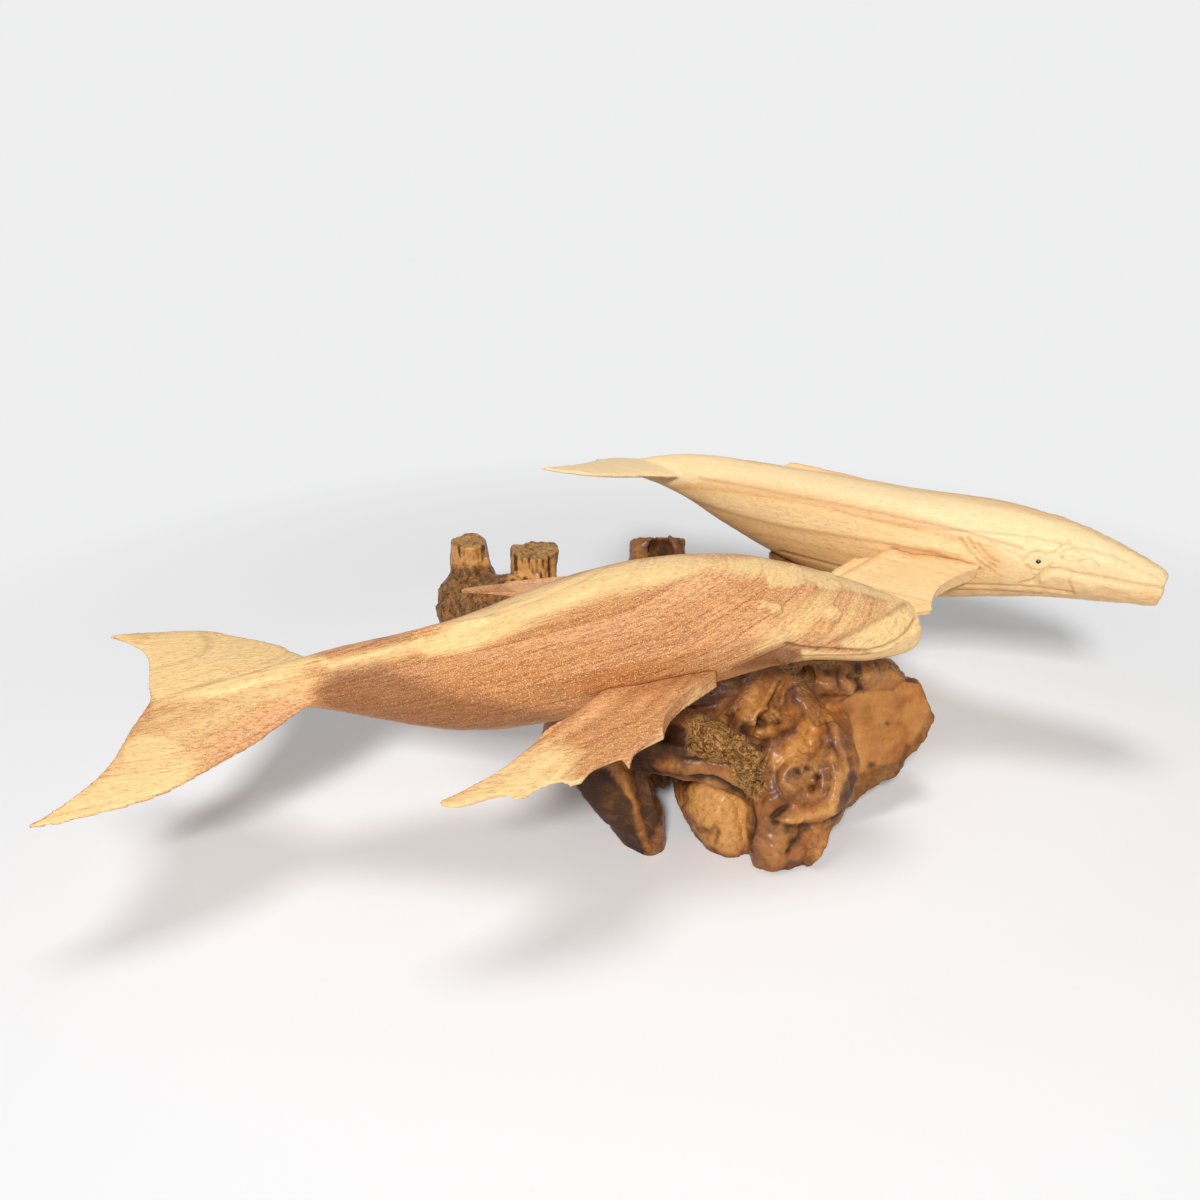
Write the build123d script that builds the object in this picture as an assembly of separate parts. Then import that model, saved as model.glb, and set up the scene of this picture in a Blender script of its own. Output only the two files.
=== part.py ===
from build123d import *
import os
from math import cos, pi, radians, sin, sqrt

# A hand-carved pair of humpback whales that ride over one knotty root.
# Each whale is one carving with its fluke and low dorsal fin. Four flippers are
# let into sockets in the flanks and doweled. A steel pin stands in the root under
# each whale, and the whale drops over it onto a flat sawn seat.
# Millimetres, Z up, the feet of the root on Z = 0, the heads towards +X.

# Whale carving
whale_length = 500.0
whale_width = 95.0
whale_back = 44.5
whale_belly = 44.0
fluke_span = 164.0
fluke_thickness = 13.0
fluke_edge = 2.4
fluke_droop = 9.0
dorsal_height = 8.0
dorsal_width = 10.0
eye_diameter = 4.2

# Flippers and their dowels
flipper_length = 150.0
flipper_thickness = 13.0
flipper_tenon = 15.0
dowel_diameter = 6.0
dowel_in_flipper = 11.0
dowel_in_body = 14.0

# Root base
root_width = 400.0
root_depth = 350.0
root_height = 115.0
limb_radius = 40.0

# Mounting pins and seats
pin_diameter = 8.0
pin_in_root = 34.0
pin_in_whale = 30.0
pin_clearance = 0.05
seat_sink = 3.0
seat_gap = 0.2

# Poses of the two whales, in degrees: yaw turns the head left, pitch lifts it,
# roll lifts the left side
front_turn = (3.0, 7.2, 14.0)
rear_turn = (-22.3, -6.5, -15.0)

# Place of the seats on the root, the way each sawn seat faces along the slope of the
# belly, the width of the flat in the belly and the station that sits there
front_seat_share = (-0.005, -0.32, 1.0)
rear_seat_share = (0.4425, 0.286, 1.107)
front_facing_share = (-0.23, -0.01, 1.0)
rear_facing_share = (0.15, -0.06, 1.0)
seat_flat_share = 1.0
front_station_share = 0.42
rear_station_share = 0.55

# Fullness of the body from snout to tail stock: station along the length, half
# width, back and belly, each a share of the fullest
body_shares = [
    (-0.002, 0.24, 0.15, 0.24),
    (0.007, 0.36, 0.21, 0.33),
    (0.026, 0.47, 0.26, 0.41),
    (0.060, 0.59, 0.35, 0.54),
    (0.120, 0.71, 0.51, 0.67),
    (0.200, 0.84, 0.71, 0.80),
    (0.300, 0.97, 0.91, 0.94),
    (0.400, 1.00, 1.00, 1.00),
    (0.500, 0.94, 0.99, 0.93),
    (0.600, 0.79, 0.88, 0.77),
    (0.700, 0.57, 0.68, 0.57),
    (0.780, 0.38, 0.46, 0.40),
    (0.860, 0.23, 0.25, 0.25),
    (0.945, 0.12, 0.06, 0.06),
]

# Points on the ring of a body section, and on the ring of a limb of the root
section_points = 16
limb_points = 10

# Rise and side bend of the spine from the snout to the tail joint, at even steps.
# Behind the joint the stock runs on straight, turned and stretched by its own
# values: yaw, pitch and roll in degrees.
tail_joint_share = 0.8
front_rise_shares = [-0.023, 0.029, 0.020, -0.014, 0.015]
front_bend_shares = [0.0, 0.0, 0.0, 0.0, -0.004]
front_tail_turn = (7.4, -7.3, 1.8)
front_tail_share = 1.11
front_skew_share = -0.015
rear_rise_shares = [0.006, 0.018, -0.014, -0.013, 0.010]
rear_bend_shares = [0.0, 0.0, 0.0, 0.014, 0.040]
rear_tail_turn = (2.5, 2.6, 1.5)
rear_tail_share = 0.785
rear_skew_share = 0.006

# Outline of half a fluke: place out along the half span, leading and trailing edge
# as stations along the whale, thickness as a share of the middle
fluke_shares = [
    (0.00, 0.740, 0.973, 1.00),
    (0.20, 0.780, 0.981, 0.88),
    (0.40, 0.816, 0.988, 0.72),
    (0.60, 0.859, 0.998, 0.54),
    (0.78, 0.905, 1.018, 0.38),
    (0.92, 0.954, 1.042, 0.26),
    (1.00, 1.022, 1.059, 0.20),
]

# How deep each jaw is against the table, back to which station, and where that fades
front_jaw_share = 1.40
rear_jaw_share = 0.78
jaw_full_share = 0.08
jaw_end_share = 0.16
# Where each snout is cut off blunt
front_snout_share = 0.002
rear_snout_share = 0.019

# Low dorsal fin: station ahead of its blunt step, height over the back and width,
# each of its fullest. Then where the step stands and how tall each whale's fin is.
dorsal_shares = [
    (-0.150, -0.35, 0.60),
    (-0.100, 0.35, 0.85),
    (-0.050, 0.85, 1.00),
    (-0.013, 1.00, 0.90),
    (0.000, 0.95, 0.70),
]
front_dorsal_share = (0.652, 1.0)
rear_dorsal_share = (0.610, 0.45)

# Flipper outline on its own plane, forward and outward from the middle of its
# root, as shares of its length. The leading edge runs between pointed knobs.
flipper_front_share = (0.25, 0.0)
flipper_knob_shares = [(-0.03, 0.25), (-0.19, 0.366), (-0.41, 0.42), (-0.63, 0.444)]
flipper_bay_shares = [
    [(0.15, 0.056), (0.02, 0.15)],
    [(-0.06, 0.262), (-0.15, 0.315)],
    [(-0.23, 0.335), (-0.35, 0.385)],
    [(-0.45, 0.401), (-0.55, 0.42)],
    [(-0.67, 0.42), (-0.80, 0.434)],
]
flipper_tip_share = (-0.91, 0.417)
flipper_trail_shares = [(-0.755, 0.354), (-0.592, 0.261), (-0.43, 0.115), (-0.234, 0.0)]
flipper_back_share = (-0.25, 0.0)

# Cross-sections of the flipper from root to tip: distance from the root, middle and
# half width as shares of its length, thickness as a share of the root's
flipper_section_shares = [
    (-0.34, 0.00, 0.34, 1.00),
    (0.00, 0.03, 0.30, 0.95),
    (0.33, 0.08, 0.22, 0.55),
    (0.67, 0.07, 0.13, 0.32),
    (1.04, 0.00, 0.05, 0.16),
]

# Where each flipper leaves the flank: station, side and height on the body. Then
# its reach to the tip, back, out and up, as shares of the flipper's length. The
# carver set the hidden left flippers closer to the body.
front_right_root_share = (-0.355, -0.088, 0.002)
front_right_reach_share = (-0.87, -0.49, 0.03)
front_left_root_share = (-0.355, 0.088, 0.002)
front_left_reach_share = (-0.86, 0.40, -0.11)
rear_right_root_share = (-0.354, -0.084, -0.026)
rear_right_reach_share = (-0.70, -0.45, -0.34)
rear_left_root_share = (-0.338, 0.088, -0.010)
rear_left_reach_share = (-0.86, 0.40, -0.11)

# Eyes: station, then how far round the section from the widest line, in degrees
rear_eye_share = (0.200, -5.0)
front_eye_share = (0.190, -22.0)
eye_sink_share = 0.25

# Limbs of the root. Each row is a section: place along, across and up as shares of
# the root, then half width across and half height as shares of a full limb.
front_leg_shares = [
    (0.096, -0.345, -0.08, 0.18, 0.30),
    (0.042, -0.325, 0.32, 0.52, 0.60),
    (-0.018, -0.290, 0.64, 0.78, 0.74),
    (0.000, -0.200, 0.66, 0.90, 0.80),
]
front_seat_limb_shares = [
    (0.050, -0.200, 0.42, 0.95, 0.90),
    (0.010, -0.290, 0.78, 0.74, 0.64),
    (-0.005, -0.320, 1.00, 0.60, 0.52),
]
front_foot_shares = [
    (0.297, -0.390, -0.08, 0.38, 0.38),
    (0.316, -0.358, 0.24, 0.72, 0.62),
    (0.338, -0.275, 0.46, 0.98, 0.84),
    (0.330, -0.120, 0.52, 1.10, 0.98),
    (0.270, 0.040, 0.50, 1.05, 0.98),
]
knob_foot_shares = [
    (0.232, -0.352, -0.08, 0.34, 0.36),
    (0.212, -0.318, 0.18, 0.56, 0.54),
    (0.200, -0.220, 0.38, 0.72, 0.66),
]
broken_stub_shares = [
    (0.010, -0.230, 0.60, 0.84, 0.76),
    (0.140, -0.318, 0.66, 0.60, 0.58),
    (0.262, -0.362, 0.55, 0.50, 0.54),
]
right_block_shares = [
    (0.240, -0.060, 0.48, 1.10, 1.05),
    (0.420, -0.150, 0.47, 1.32, 1.15),
    (0.545, -0.148, 0.57, 1.00, 0.80),
    (0.600, -0.140, 0.66, 0.52, 0.38),
]
front_burl_shares = [
    (-0.060, -0.160, 0.54, 0.76, 0.72),
    (0.060, -0.130, 0.57, 1.05, 0.98),
    (0.240, -0.110, 0.60, 1.10, 0.98),
    (0.420, -0.060, 0.56, 1.00, 0.84),
]
bridge_shares = [
    (0.020, -0.200, 0.52, 1.05, 0.98),
    (0.080, 0.040, 0.50, 1.30, 1.15),
    (0.180, 0.240, 0.48, 1.25, 1.15),
    (0.330, 0.320, 0.50, 1.00, 1.00),
]
rear_seat_limb_shares = [
    (0.330, 0.200, 0.28, 1.20, 1.15),
    (0.430, 0.275, 0.75, 0.84, 0.84),
    (0.4425, 0.286, 1.107, 0.78, 0.74),
]
rear_foot_shares = [
    (0.480, 0.345, -0.08, 0.60, 0.60),
    (0.450, 0.320, 0.30, 0.88, 0.88),
    (0.400, 0.240, 0.55, 0.94, 0.94),
]
hollow_stub_shares = [
    (0.140, 0.280, 0.38, 1.00, 0.95),
    (0.135, 0.430, 0.72, 0.72, 0.68),
    (0.135, 0.497, 1.00, 0.60, 0.54),
]
rear_left_mass_shares = [
    (0.080, 0.150, 0.50, 1.10, 1.00),
    (-0.110, 0.350, 0.48, 1.02, 0.92),
    (-0.285, 0.465, 0.48, 0.88, 0.80),
    (-0.365, 0.505, 0.56, 0.42, 0.44),
]
outer_stub_shares = [
    (-0.285, 0.470, 0.40, 0.68, 0.66),
    (-0.302, 0.508, 0.76, 0.48, 0.48),
    (-0.306, 0.516, 0.99, 0.42, 0.41),
]
inner_stub_shares = [
    (-0.155, 0.410, 0.45, 0.68, 0.66),
    (-0.150, 0.450, 0.76, 0.54, 0.52),
    (-0.148, 0.462, 0.98, 0.55, 0.50),
]
rear_left_foot_shares = [
    (-0.250, 0.390, -0.08, 0.56, 0.52),
    (-0.290, 0.425, 0.26, 0.70, 0.68),
    (-0.300, 0.465, 0.52, 0.80, 0.74),
]
stub_facing_share = (0.0, -0.08, 1.0)
# Swollen ridges that grew over the front of the root, thin limbs half sunk in it
twisted_ridge_shares = [
    (0.205, -0.290, 0.66, 0.34, 0.32),
    (0.262, -0.252, 0.80, 0.32, 0.30),
    (0.305, -0.185, 0.94, 0.32, 0.28),
]
valley_ridge_shares = [
    (0.335, -0.200, 0.84, 0.30, 0.28),
    (0.352, -0.268, 0.78, 0.27, 0.26),
    (0.340, -0.305, 0.68, 0.28, 0.27),
    (0.296, -0.312, 0.58, 0.30, 0.28),
]
swirl_ridge_shares = [
    (0.376, -0.290, 0.72, 0.30, 0.30),
    (0.396, -0.335, 0.58, 0.40, 0.38),
    (0.375, -0.368, 0.38, 0.44, 0.40),
    (0.330, -0.388, 0.18, 0.40, 0.36),
]
nose_ridge_shares = [
    (0.368, -0.195, 0.90, 0.30, 0.26),
    (0.425, -0.172, 0.87, 0.34, 0.30),
    (0.490, -0.132, 0.84, 0.34, 0.28),
    (0.545, -0.105, 0.79, 0.26, 0.22),
]
keel_shares = [
    (0.535, -0.105, 0.46, 0.60, 0.60),
    (0.480, -0.180, 0.39, 0.70, 0.62),
    (0.418, -0.255, 0.30, 0.68, 0.60),
    (0.350, -0.325, 0.18, 0.56, 0.50),
]
rear_ridge_shares = [
    (-0.245, 0.430, 0.62, 0.30, 0.28),
    (-0.205, 0.398, 0.72, 0.36, 0.32),
    (-0.160, 0.385, 0.68, 0.32, 0.30),
]
# Smooth sawn and polished face of the right block: a point on it, then the way it
# looks
polished_point_share = (0.50, -0.214, 0.48)
polished_facing_share = (0.27, -0.90, 0.34)
# How unevenly a limb's sections swell, and the round hollow of the decayed stub
knurl_share = 0.07
hollow_radius_share = 0.30
hollow_point_share = (0.140, 0.430, 1.03)


def lerp_row(rows, place):
    """Row of shares at a place between the listed ones, in straight steps."""
    for low, high in zip(rows, rows[1:]):
        if place <= high[0]:
            part = (place - low[0]) / (high[0] - low[0])
            return [a + (b - a) * part for a, b in zip(low, high)]
    return list(rows[-1])


def curve_value(values, station):
    """Smooth curve through values at even steps up to the tail joint."""
    steps = len(values) - 1
    place = min(max(station / tail_joint_share, 0.0), 1.0) * steps
    index = min(int(place), steps - 1)
    part = place - index
    before = values[index - 1] if index > 0 else 2 * values[0] - values[1]
    start = values[index]
    end = values[index + 1]
    after = values[index + 2] if index + 2 <= steps else 2 * end - start
    slope_in = (end - before) / 2
    slope_out = (after - start) / 2
    bow = (2 * start - 2 * end + slope_in + slope_out) * part**3
    bow += (3 * end - 3 * start - 2 * slope_in - slope_out) * part**2
    return bow + slope_in * part + start


def turned(shape, turn):
    """Rolls, pitches and yaws a shape or a point about the origin."""
    yaw, pitch, roll = turn
    shape = shape.rotate(Axis.X, roll)
    shape = shape.rotate(Axis.Y, -pitch)
    return shape.rotate(Axis.Z, yaw)


def tail_point(whale, station, out, up):
    """Point of the straight tail, by its station and its place off the middle."""
    across = whale_length * curve_value(whale["bend"], tail_joint_share)
    rise = whale_length * curve_value(whale["rise"], tail_joint_share)
    joint = Vector(-whale_length * tail_joint_share, across, rise)
    back = (station - tail_joint_share) * whale_length * whale["tail"]
    return joint + turned(Vector(-back, out, up), whale["tail_turn"])


def spine_point(whale, station):
    """Middle of the body at a station, the snout at the origin and facing +X."""
    if station > tail_joint_share:
        return tail_point(whale, station, 0, 0)
    across = whale_length * curve_value(whale["bend"], station)
    up = whale_length * curve_value(whale["rise"], station)
    return Vector(-whale_length * station, across, up)


def ring(plane, points):
    """Closed smooth outline through points, in two halves that meet in line."""
    half = len(points) // 2
    start = Vector(*points[1]) - Vector(*points[-1])
    middle = Vector(*points[half + 1]) - Vector(*points[half - 1])
    first = Spline(points[: half + 1], tangents=[start, middle])
    second = Spline(points[half:] + points[:1], tangents=[middle, start])
    return plane * make_face(Wire([first, second]))


def oval(plane, half, tall):
    """Elliptical section of the given half width and half height."""
    angles = [2 * pi * step / section_points for step in range(section_points)]
    return ring(plane, [(half * cos(angle), tall * sin(angle)) for angle in angles])


def body_section(whale, row):
    """Upright section: a full half-ellipse back over a flatter half-ellipse belly."""
    station, width, back, belly = row
    chin = (jaw_end_share - station) / (jaw_end_share - jaw_full_share)
    belly *= 1 + (whale["jaw"] - 1) * min(max(chin, 0.0), 1.0)
    plane = Plane(spine_point(whale, station), x_dir=(0, 1, 0), z_dir=(1, 0, 0))
    points = []
    for step in range(section_points):
        angle = 2 * pi * step / section_points
        tall = whale_back * back if sin(angle) > 0 else whale_belly * belly
        points.append((whale_width / 2 * width * cos(angle), tall * sin(angle)))
    return ring(plane, points)


def whale_trunk(whale):
    """Snout to tail stock, lofted along the bent spine, with a blunt snout."""
    trunk = loft([body_section(whale, row) for row in body_shares])
    waste = Box(whale_length, whale_length, whale_length, align=(Align.MIN, Align.CENTER, Align.CENTER))
    return trunk - waste.moved(Location((-whale_length * whale["snout"], 0, 0)))


def fluke_section(whale, place, row):
    """Lens across the fluke at one place along its span, with a rounded edge."""
    thick = row[3]
    lead = row[1] + whale["skew"] * place
    trail = row[2] + whale["skew"] * place
    out = place * fluke_span / 2
    droop = -fluke_droop * abs(place) ** 1.5
    edge = fluke_edge / 2
    crown = fluke_thickness / 2 * thick
    middle = lead * 0.55 + trail * 0.45
    lead_top = tail_point(whale, lead, out, droop + edge)
    lead_low = tail_point(whale, lead, out, droop - edge)
    trail_top = tail_point(whale, trail, out, droop + edge)
    trail_low = tail_point(whale, trail, out, droop - edge)
    top = Spline([lead_top, tail_point(whale, middle, out, droop + crown), trail_top])
    low = Spline([trail_low, tail_point(whale, middle, out, droop - crown), lead_low])
    back = Line(trail_top, trail_low)
    front = Line(lead_low, lead_top)
    return Face(Wire([top, back, low, front]))


def whale_fluke(whale):
    """Both lobes in one loft from tip to tip, with the notch in the middle."""
    right = [(-row[0], row) for row in reversed(fluke_shares[1:])]
    left = [(row[0], row) for row in fluke_shares]
    return loft([fluke_section(whale, place, row) for place, row in right + left])


def dorsal_fin(whale):
    """Low ridge that climbs off the back and ends in a blunt cut step."""
    step_station, size = whale["dorsal"]
    sections = []
    for ahead, height, width in dorsal_shares:
        station = step_station + ahead
        back = lerp_row(body_shares, station)[2] * whale_back
        root = spine_point(whale, station) + Vector(0, 0, back - dorsal_height)
        plane = Plane(root, x_dir=(0, 1, 0), z_dir=(1, 0, 0))
        tall = dorsal_height * (1 + height * size)
        sections.append(oval(plane, dorsal_width / 2 * width, tall))
    return loft(sections)


def flipper_plane(root_share, reach_share):
    """Plane of a flipper: X runs forward along the body, Y outward from the flank."""
    root = Vector(*root_share) * whale_length
    forward = Vector(1, 0, 0)
    normal = forward.cross(Vector(*reach_share)).normalized()
    return Plane(root, x_dir=forward, z_dir=normal)


def flipper_map(reach_share):
    """Lean and stretch that carry the drawn outline's tip to this flipper's reach."""
    back, side, up = reach_share
    out = sqrt(side**2 + up**2)
    stretch = out / flipper_tip_share[1]
    lean = (back - flipper_tip_share[0]) / out
    return lambda x, y: ((x + lean * y * stretch) * flipper_length, y * stretch * flipper_length)


def flipper_outline(place):
    """Planform with pointed knobs along the leading edge and a swept tip."""
    corners = [flipper_front_share] + flipper_knob_shares + [flipper_tip_share]
    edges = []
    for start, bays, end in zip(corners, flipper_bay_shares, corners[1:]):
        edges.append(Spline([place(x, y) for x, y in [start] + bays + [end]]))
    trail = [flipper_tip_share] + flipper_trail_shares + [flipper_back_share]
    edges.append(Spline([place(x, y) for x, y in trail]))
    front_x, front_y = place(*flipper_front_share)
    back_x, back_y = place(*flipper_back_share)
    tenon_back = (back_x, -flipper_tenon)
    tenon_front = (front_x, -flipper_tenon)
    edges += Polyline([(back_x, back_y), tenon_back, tenon_front, (front_x, front_y)]).edges()
    return make_face(Wire(edges))


def flipper_lens(place):
    """Plate that thins from the shoulder to the tip and from the middle outward."""
    tip = Vector(*place(*flipper_tip_share))
    along = tip.normalized()
    across = Vector(along.Y, -along.X, 0)
    sections = []
    for part, middle, half, thick in flipper_section_shares:
        spot = tip * part + across * (middle * flipper_length)
        plane = Plane(spot, x_dir=across, z_dir=along)
        tall = flipper_thickness / 2 * thick
        sections.append(oval(plane, half * flipper_length, tall))
    return loft(sections)


def flipper(root_share, reach_share):
    """One flipper with its tenon, on its plane beside the body."""
    place = flipper_map(reach_share)
    outline = extrude(flipper_outline(place), amount=flipper_thickness, both=True)
    shape = outline & flipper_lens(place)
    return shape.moved(flipper_plane(root_share, reach_share).location)


def flipper_dowel(root_share, reach_share):
    """Dowel across the joint, from inside the flank into the flipper's shoulder."""
    plane = flipper_plane(root_share, reach_share)
    length = dowel_in_body + dowel_in_flipper
    start = plane.origin - plane.y_dir * (flipper_tenon + dowel_in_body)
    axis = Plane(start, x_dir=plane.x_dir, z_dir=plane.y_dir)
    return extrude(axis * Circle(dowel_diameter / 2), amount=length)


def eye_bead(whale, side):
    """Round bead let into the skin of the head, most of it sunk, its pole outward."""
    station, angle = whale["eye"]
    row = lerp_row(body_shares, station)
    turn = radians(angle)
    half = whale_width / 2 * row[1]
    tall = whale_back * row[2] if angle > 0 else whale_belly * row[3]
    skin = Vector(0, side * half * cos(turn), tall * sin(turn))
    inward = Vector(0, -side * eye_diameter * eye_sink_share, 0)
    spot = spine_point(whale, station) + skin + inward
    outward = Plane(spot, x_dir=(1, 0, 0), z_dir=(0, side, 0))
    return Sphere(eye_diameter / 2).moved(outward.location)


def seat_point(share):
    """Centre of a seat on the root."""
    along, across, up = share
    return Vector(along * root_width, across * root_depth, up * root_height)


def whale_offset(whale):
    """Move that sets the belly at a station onto its seat."""
    station = whale["station"]
    row = lerp_row(body_shares, station)
    roll = radians(whale["turn"][2])
    down = whale_belly * row[3] * cos(roll)
    out = whale_width / 2 * row[1] * sin(roll)
    drop = sqrt(down**2 + out**2) - seat_sink
    middle = turned(spine_point(whale, station), whale["turn"])
    return seat_point(whale["seat"]) + Vector(0, 0, drop + seat_gap) - middle


def belly_cuts(seat, facing):
    """Flat for the seat and bore for the pin, cut up into the belly."""
    flat = Cylinder(
        limb_radius * seat_flat_share,
        whale_belly,
        align=(Align.CENTER, Align.CENTER, Align.MAX),
    )
    bore = Cylinder(
        pin_diameter / 2 + pin_clearance,
        pin_in_whale + pin_clearance + pin_diameter,
        align=(Align.CENTER, Align.CENTER, Align.MIN),
    )
    top = Plane(seat_point(seat) + Vector(0, 0, seat_gap), z_dir=facing)
    mouth = Location(seat_point(seat) - Vector(0, 0, pin_diameter))
    return [flat.moved(top.location), bore.moved(mouth)]


def carve_whale(whale):
    """All pieces of one whale, in place over the root."""
    name = whale["name"]
    spot = Location(whale_offset(whale))

    def place(shape):
        return turned(shape, whale["turn"]).moved(spot)

    body = place(whale_trunk(whale) + whale_fluke(whale) + dorsal_fin(whale))
    for tool in belly_cuts(whale["seat"], whale["facing"]):
        body -= tool
    pieces = {}
    for side, (root_share, reach_share) in whale["flippers"].items():
        fin = place(flipper(root_share, reach_share))
        dowel = place(flipper_dowel(root_share, reach_share))
        body -= fin
        body -= dowel
        pieces[f"{name}_{side}_flipper"] = fin - dowel
        pieces[f"{name}_{side}_dowel"] = dowel
    for side, sign in (("right", -1), ("left", 1)):
        bead = place(eye_bead(whale, sign))
        body -= bead
        pieces[f"{name}_{side}_eye"] = bead
    pieces[f"{name}_body"] = body
    return pieces


def limb_section(spot, normal, half, tall, turn):
    """Closed uneven ring around a limb, in the plane across it."""
    upright = Vector(0, 0, 1) if abs(normal.Z) < 0.8 else Vector(0, 1, 0)
    across = upright.cross(normal).normalized()
    plane = Plane(spot, x_dir=across, z_dir=normal)
    points = []
    for step in range(limb_points):
        angle = 2 * pi * step / limb_points
        swell = 1 + knurl_share * cos(3 * angle + turn)
        points.append((half * swell * cos(angle), tall * swell * sin(angle)))
    return ring(plane, points)


def limb(rows, turn=0.0, sawn=None):
    """Lofted branch of the root through its sections, the last one sawn to face."""
    spots = [seat_point(row[:3]) for row in rows]
    sections = []
    for index, row in enumerate(rows):
        ahead = spots[min(index + 1, len(rows) - 1)]
        behind = spots[max(index - 1, 0)]
        normal = (ahead - behind).normalized()
        if sawn and index == len(rows) - 1:
            normal = Vector(*sawn).normalized()
        half = limb_radius * row[3]
        tall = limb_radius * row[4]
        sections.append(limb_section(spots[index], normal, half, tall, turn + index))
    return loft(sections)


def polished_block():
    """Right-hand block and its keel, cut to a flat face that looks to the front."""
    block = limb(right_block_shares, 0.6) + limb(keel_shares, 0.7)
    face = Plane(seat_point(polished_point_share), z_dir=polished_facing_share)
    waste = Box(
        root_width,
        root_width,
        limb_radius * 2,
        align=(Align.CENTER, Align.CENTER, Align.MIN),
    )
    return block - waste.moved(face.location)


def mounting_pin(seat):
    """Steel pin that stands in the root and enters the belly."""
    length = pin_in_root + pin_in_whale
    foot = seat_point(seat) - Vector(0, 0, pin_in_root)
    pin = Cylinder(pin_diameter / 2, length, align=(Align.CENTER, Align.CENTER, Align.MIN))
    return pin.moved(Location(foot))


def root_base(pins):
    """The knotty root: legs, arched limbs, sawn stubs and two flat seats."""
    root = limb(bridge_shares, 0.4)
    root += limb(front_leg_shares, 0.9)
    root += limb(front_seat_limb_shares, 1.7, front_facing_share)
    root += limb(front_foot_shares, 0.2)
    root += limb(knob_foot_shares, 1.1)
    root += limb(broken_stub_shares, 2.3)
    root += polished_block()
    root += limb(front_burl_shares, 1.5)
    root += limb(rear_seat_limb_shares, 0.3, rear_facing_share)
    root += limb(rear_foot_shares, 2.0)
    root += limb(hollow_stub_shares, 0.8)
    root += limb(rear_left_mass_shares, 1.2)
    root += limb(outer_stub_shares, 0.5, stub_facing_share)
    root += limb(inner_stub_shares, 1.9, stub_facing_share)
    root += limb(rear_left_foot_shares, 0.1)
    root += limb(twisted_ridge_shares, 1.3)
    root += limb(valley_ridge_shares, 0.2)
    root += limb(swirl_ridge_shares, 2.1)
    root += limb(nose_ridge_shares, 1.0)
    root += limb(rear_ridge_shares, 1.8)
    below = Box(
        root_width * 3,
        root_depth * 3,
        root_height,
        align=(Align.CENTER, Align.CENTER, Align.MAX),
    )
    root -= below
    root -= Sphere(limb_radius * hollow_radius_share).moved(Location(seat_point(hollow_point_share)))
    for pin in pins:
        root -= pin
    return root


front_whale = {
    "name": "front_whale",
    "turn": front_turn,
    "tail_turn": front_tail_turn,
    "tail": front_tail_share,
    "skew": front_skew_share,
    "rise": front_rise_shares,
    "bend": front_bend_shares,
    "jaw": front_jaw_share,
    "snout": front_snout_share,
    "dorsal": front_dorsal_share,
    "eye": front_eye_share,
    "station": front_station_share,
    "seat": front_seat_share,
    "facing": front_facing_share,
    "flippers": {
        "right": (front_right_root_share, front_right_reach_share),
        "left": (front_left_root_share, front_left_reach_share),
    },
}
rear_whale = {
    "name": "rear_whale",
    "turn": rear_turn,
    "tail_turn": rear_tail_turn,
    "tail": rear_tail_share,
    "skew": rear_skew_share,
    "rise": rear_rise_shares,
    "bend": rear_bend_shares,
    "jaw": rear_jaw_share,
    "snout": rear_snout_share,
    "dorsal": rear_dorsal_share,
    "eye": rear_eye_share,
    "station": rear_station_share,
    "seat": rear_seat_share,
    "facing": rear_facing_share,
    "flippers": {
        "right": (rear_right_root_share, rear_right_reach_share),
        "left": (rear_left_root_share, rear_left_reach_share),
    },
}

nodes = carve_whale(front_whale)
nodes.update(carve_whale(rear_whale))
nodes["front_whale_pin"] = mounting_pin(front_seat_share)
nodes["rear_whale_pin"] = mounting_pin(rear_seat_share)
nodes["root_base"] = root_base([nodes["front_whale_pin"], nodes["rear_whale_pin"]])

# The origin is the middle of the whole footprint, on the floor
box = Compound(children=[Compound(part.solids()) for part in nodes.values()]).bounding_box()
centre = Location((-box.center().X, -box.center().Y, 0))

os.makedirs("parts", exist_ok=True)
for name, part in nodes.items():
    solids = part.solids()
    shape = solids[0] if len(solids) == 1 else Compound(solids)
    export_step(shape.moved(centre), f"parts/{name}.step")
    print(name, len(solids), round(sum(solid.volume for solid in solids)))
print("size", box.size, "centre", box.center())
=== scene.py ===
import math

import bmesh
import bpy
import numpy as np
from mathutils import Matrix, Vector, noise


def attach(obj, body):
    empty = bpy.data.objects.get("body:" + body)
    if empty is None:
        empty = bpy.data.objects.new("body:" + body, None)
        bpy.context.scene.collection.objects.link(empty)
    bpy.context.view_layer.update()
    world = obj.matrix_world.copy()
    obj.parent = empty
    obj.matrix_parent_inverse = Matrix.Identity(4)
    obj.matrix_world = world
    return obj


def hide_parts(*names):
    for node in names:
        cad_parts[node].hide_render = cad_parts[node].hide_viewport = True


# Two humpback whales, each carved from one plank of tropical wood, riding over a knotty
# root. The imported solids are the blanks: each is copied, given an even skin and carved.
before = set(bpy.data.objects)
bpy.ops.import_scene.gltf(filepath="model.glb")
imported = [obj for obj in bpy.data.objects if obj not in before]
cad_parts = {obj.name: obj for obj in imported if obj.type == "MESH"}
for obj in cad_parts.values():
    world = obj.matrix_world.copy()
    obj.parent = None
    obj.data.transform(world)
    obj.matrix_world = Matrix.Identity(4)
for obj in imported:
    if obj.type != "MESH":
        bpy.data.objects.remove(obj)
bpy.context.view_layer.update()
scene = bpy.context.scene
scene.view_settings.view_transform = "Standard"
MM = 0.001

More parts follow.
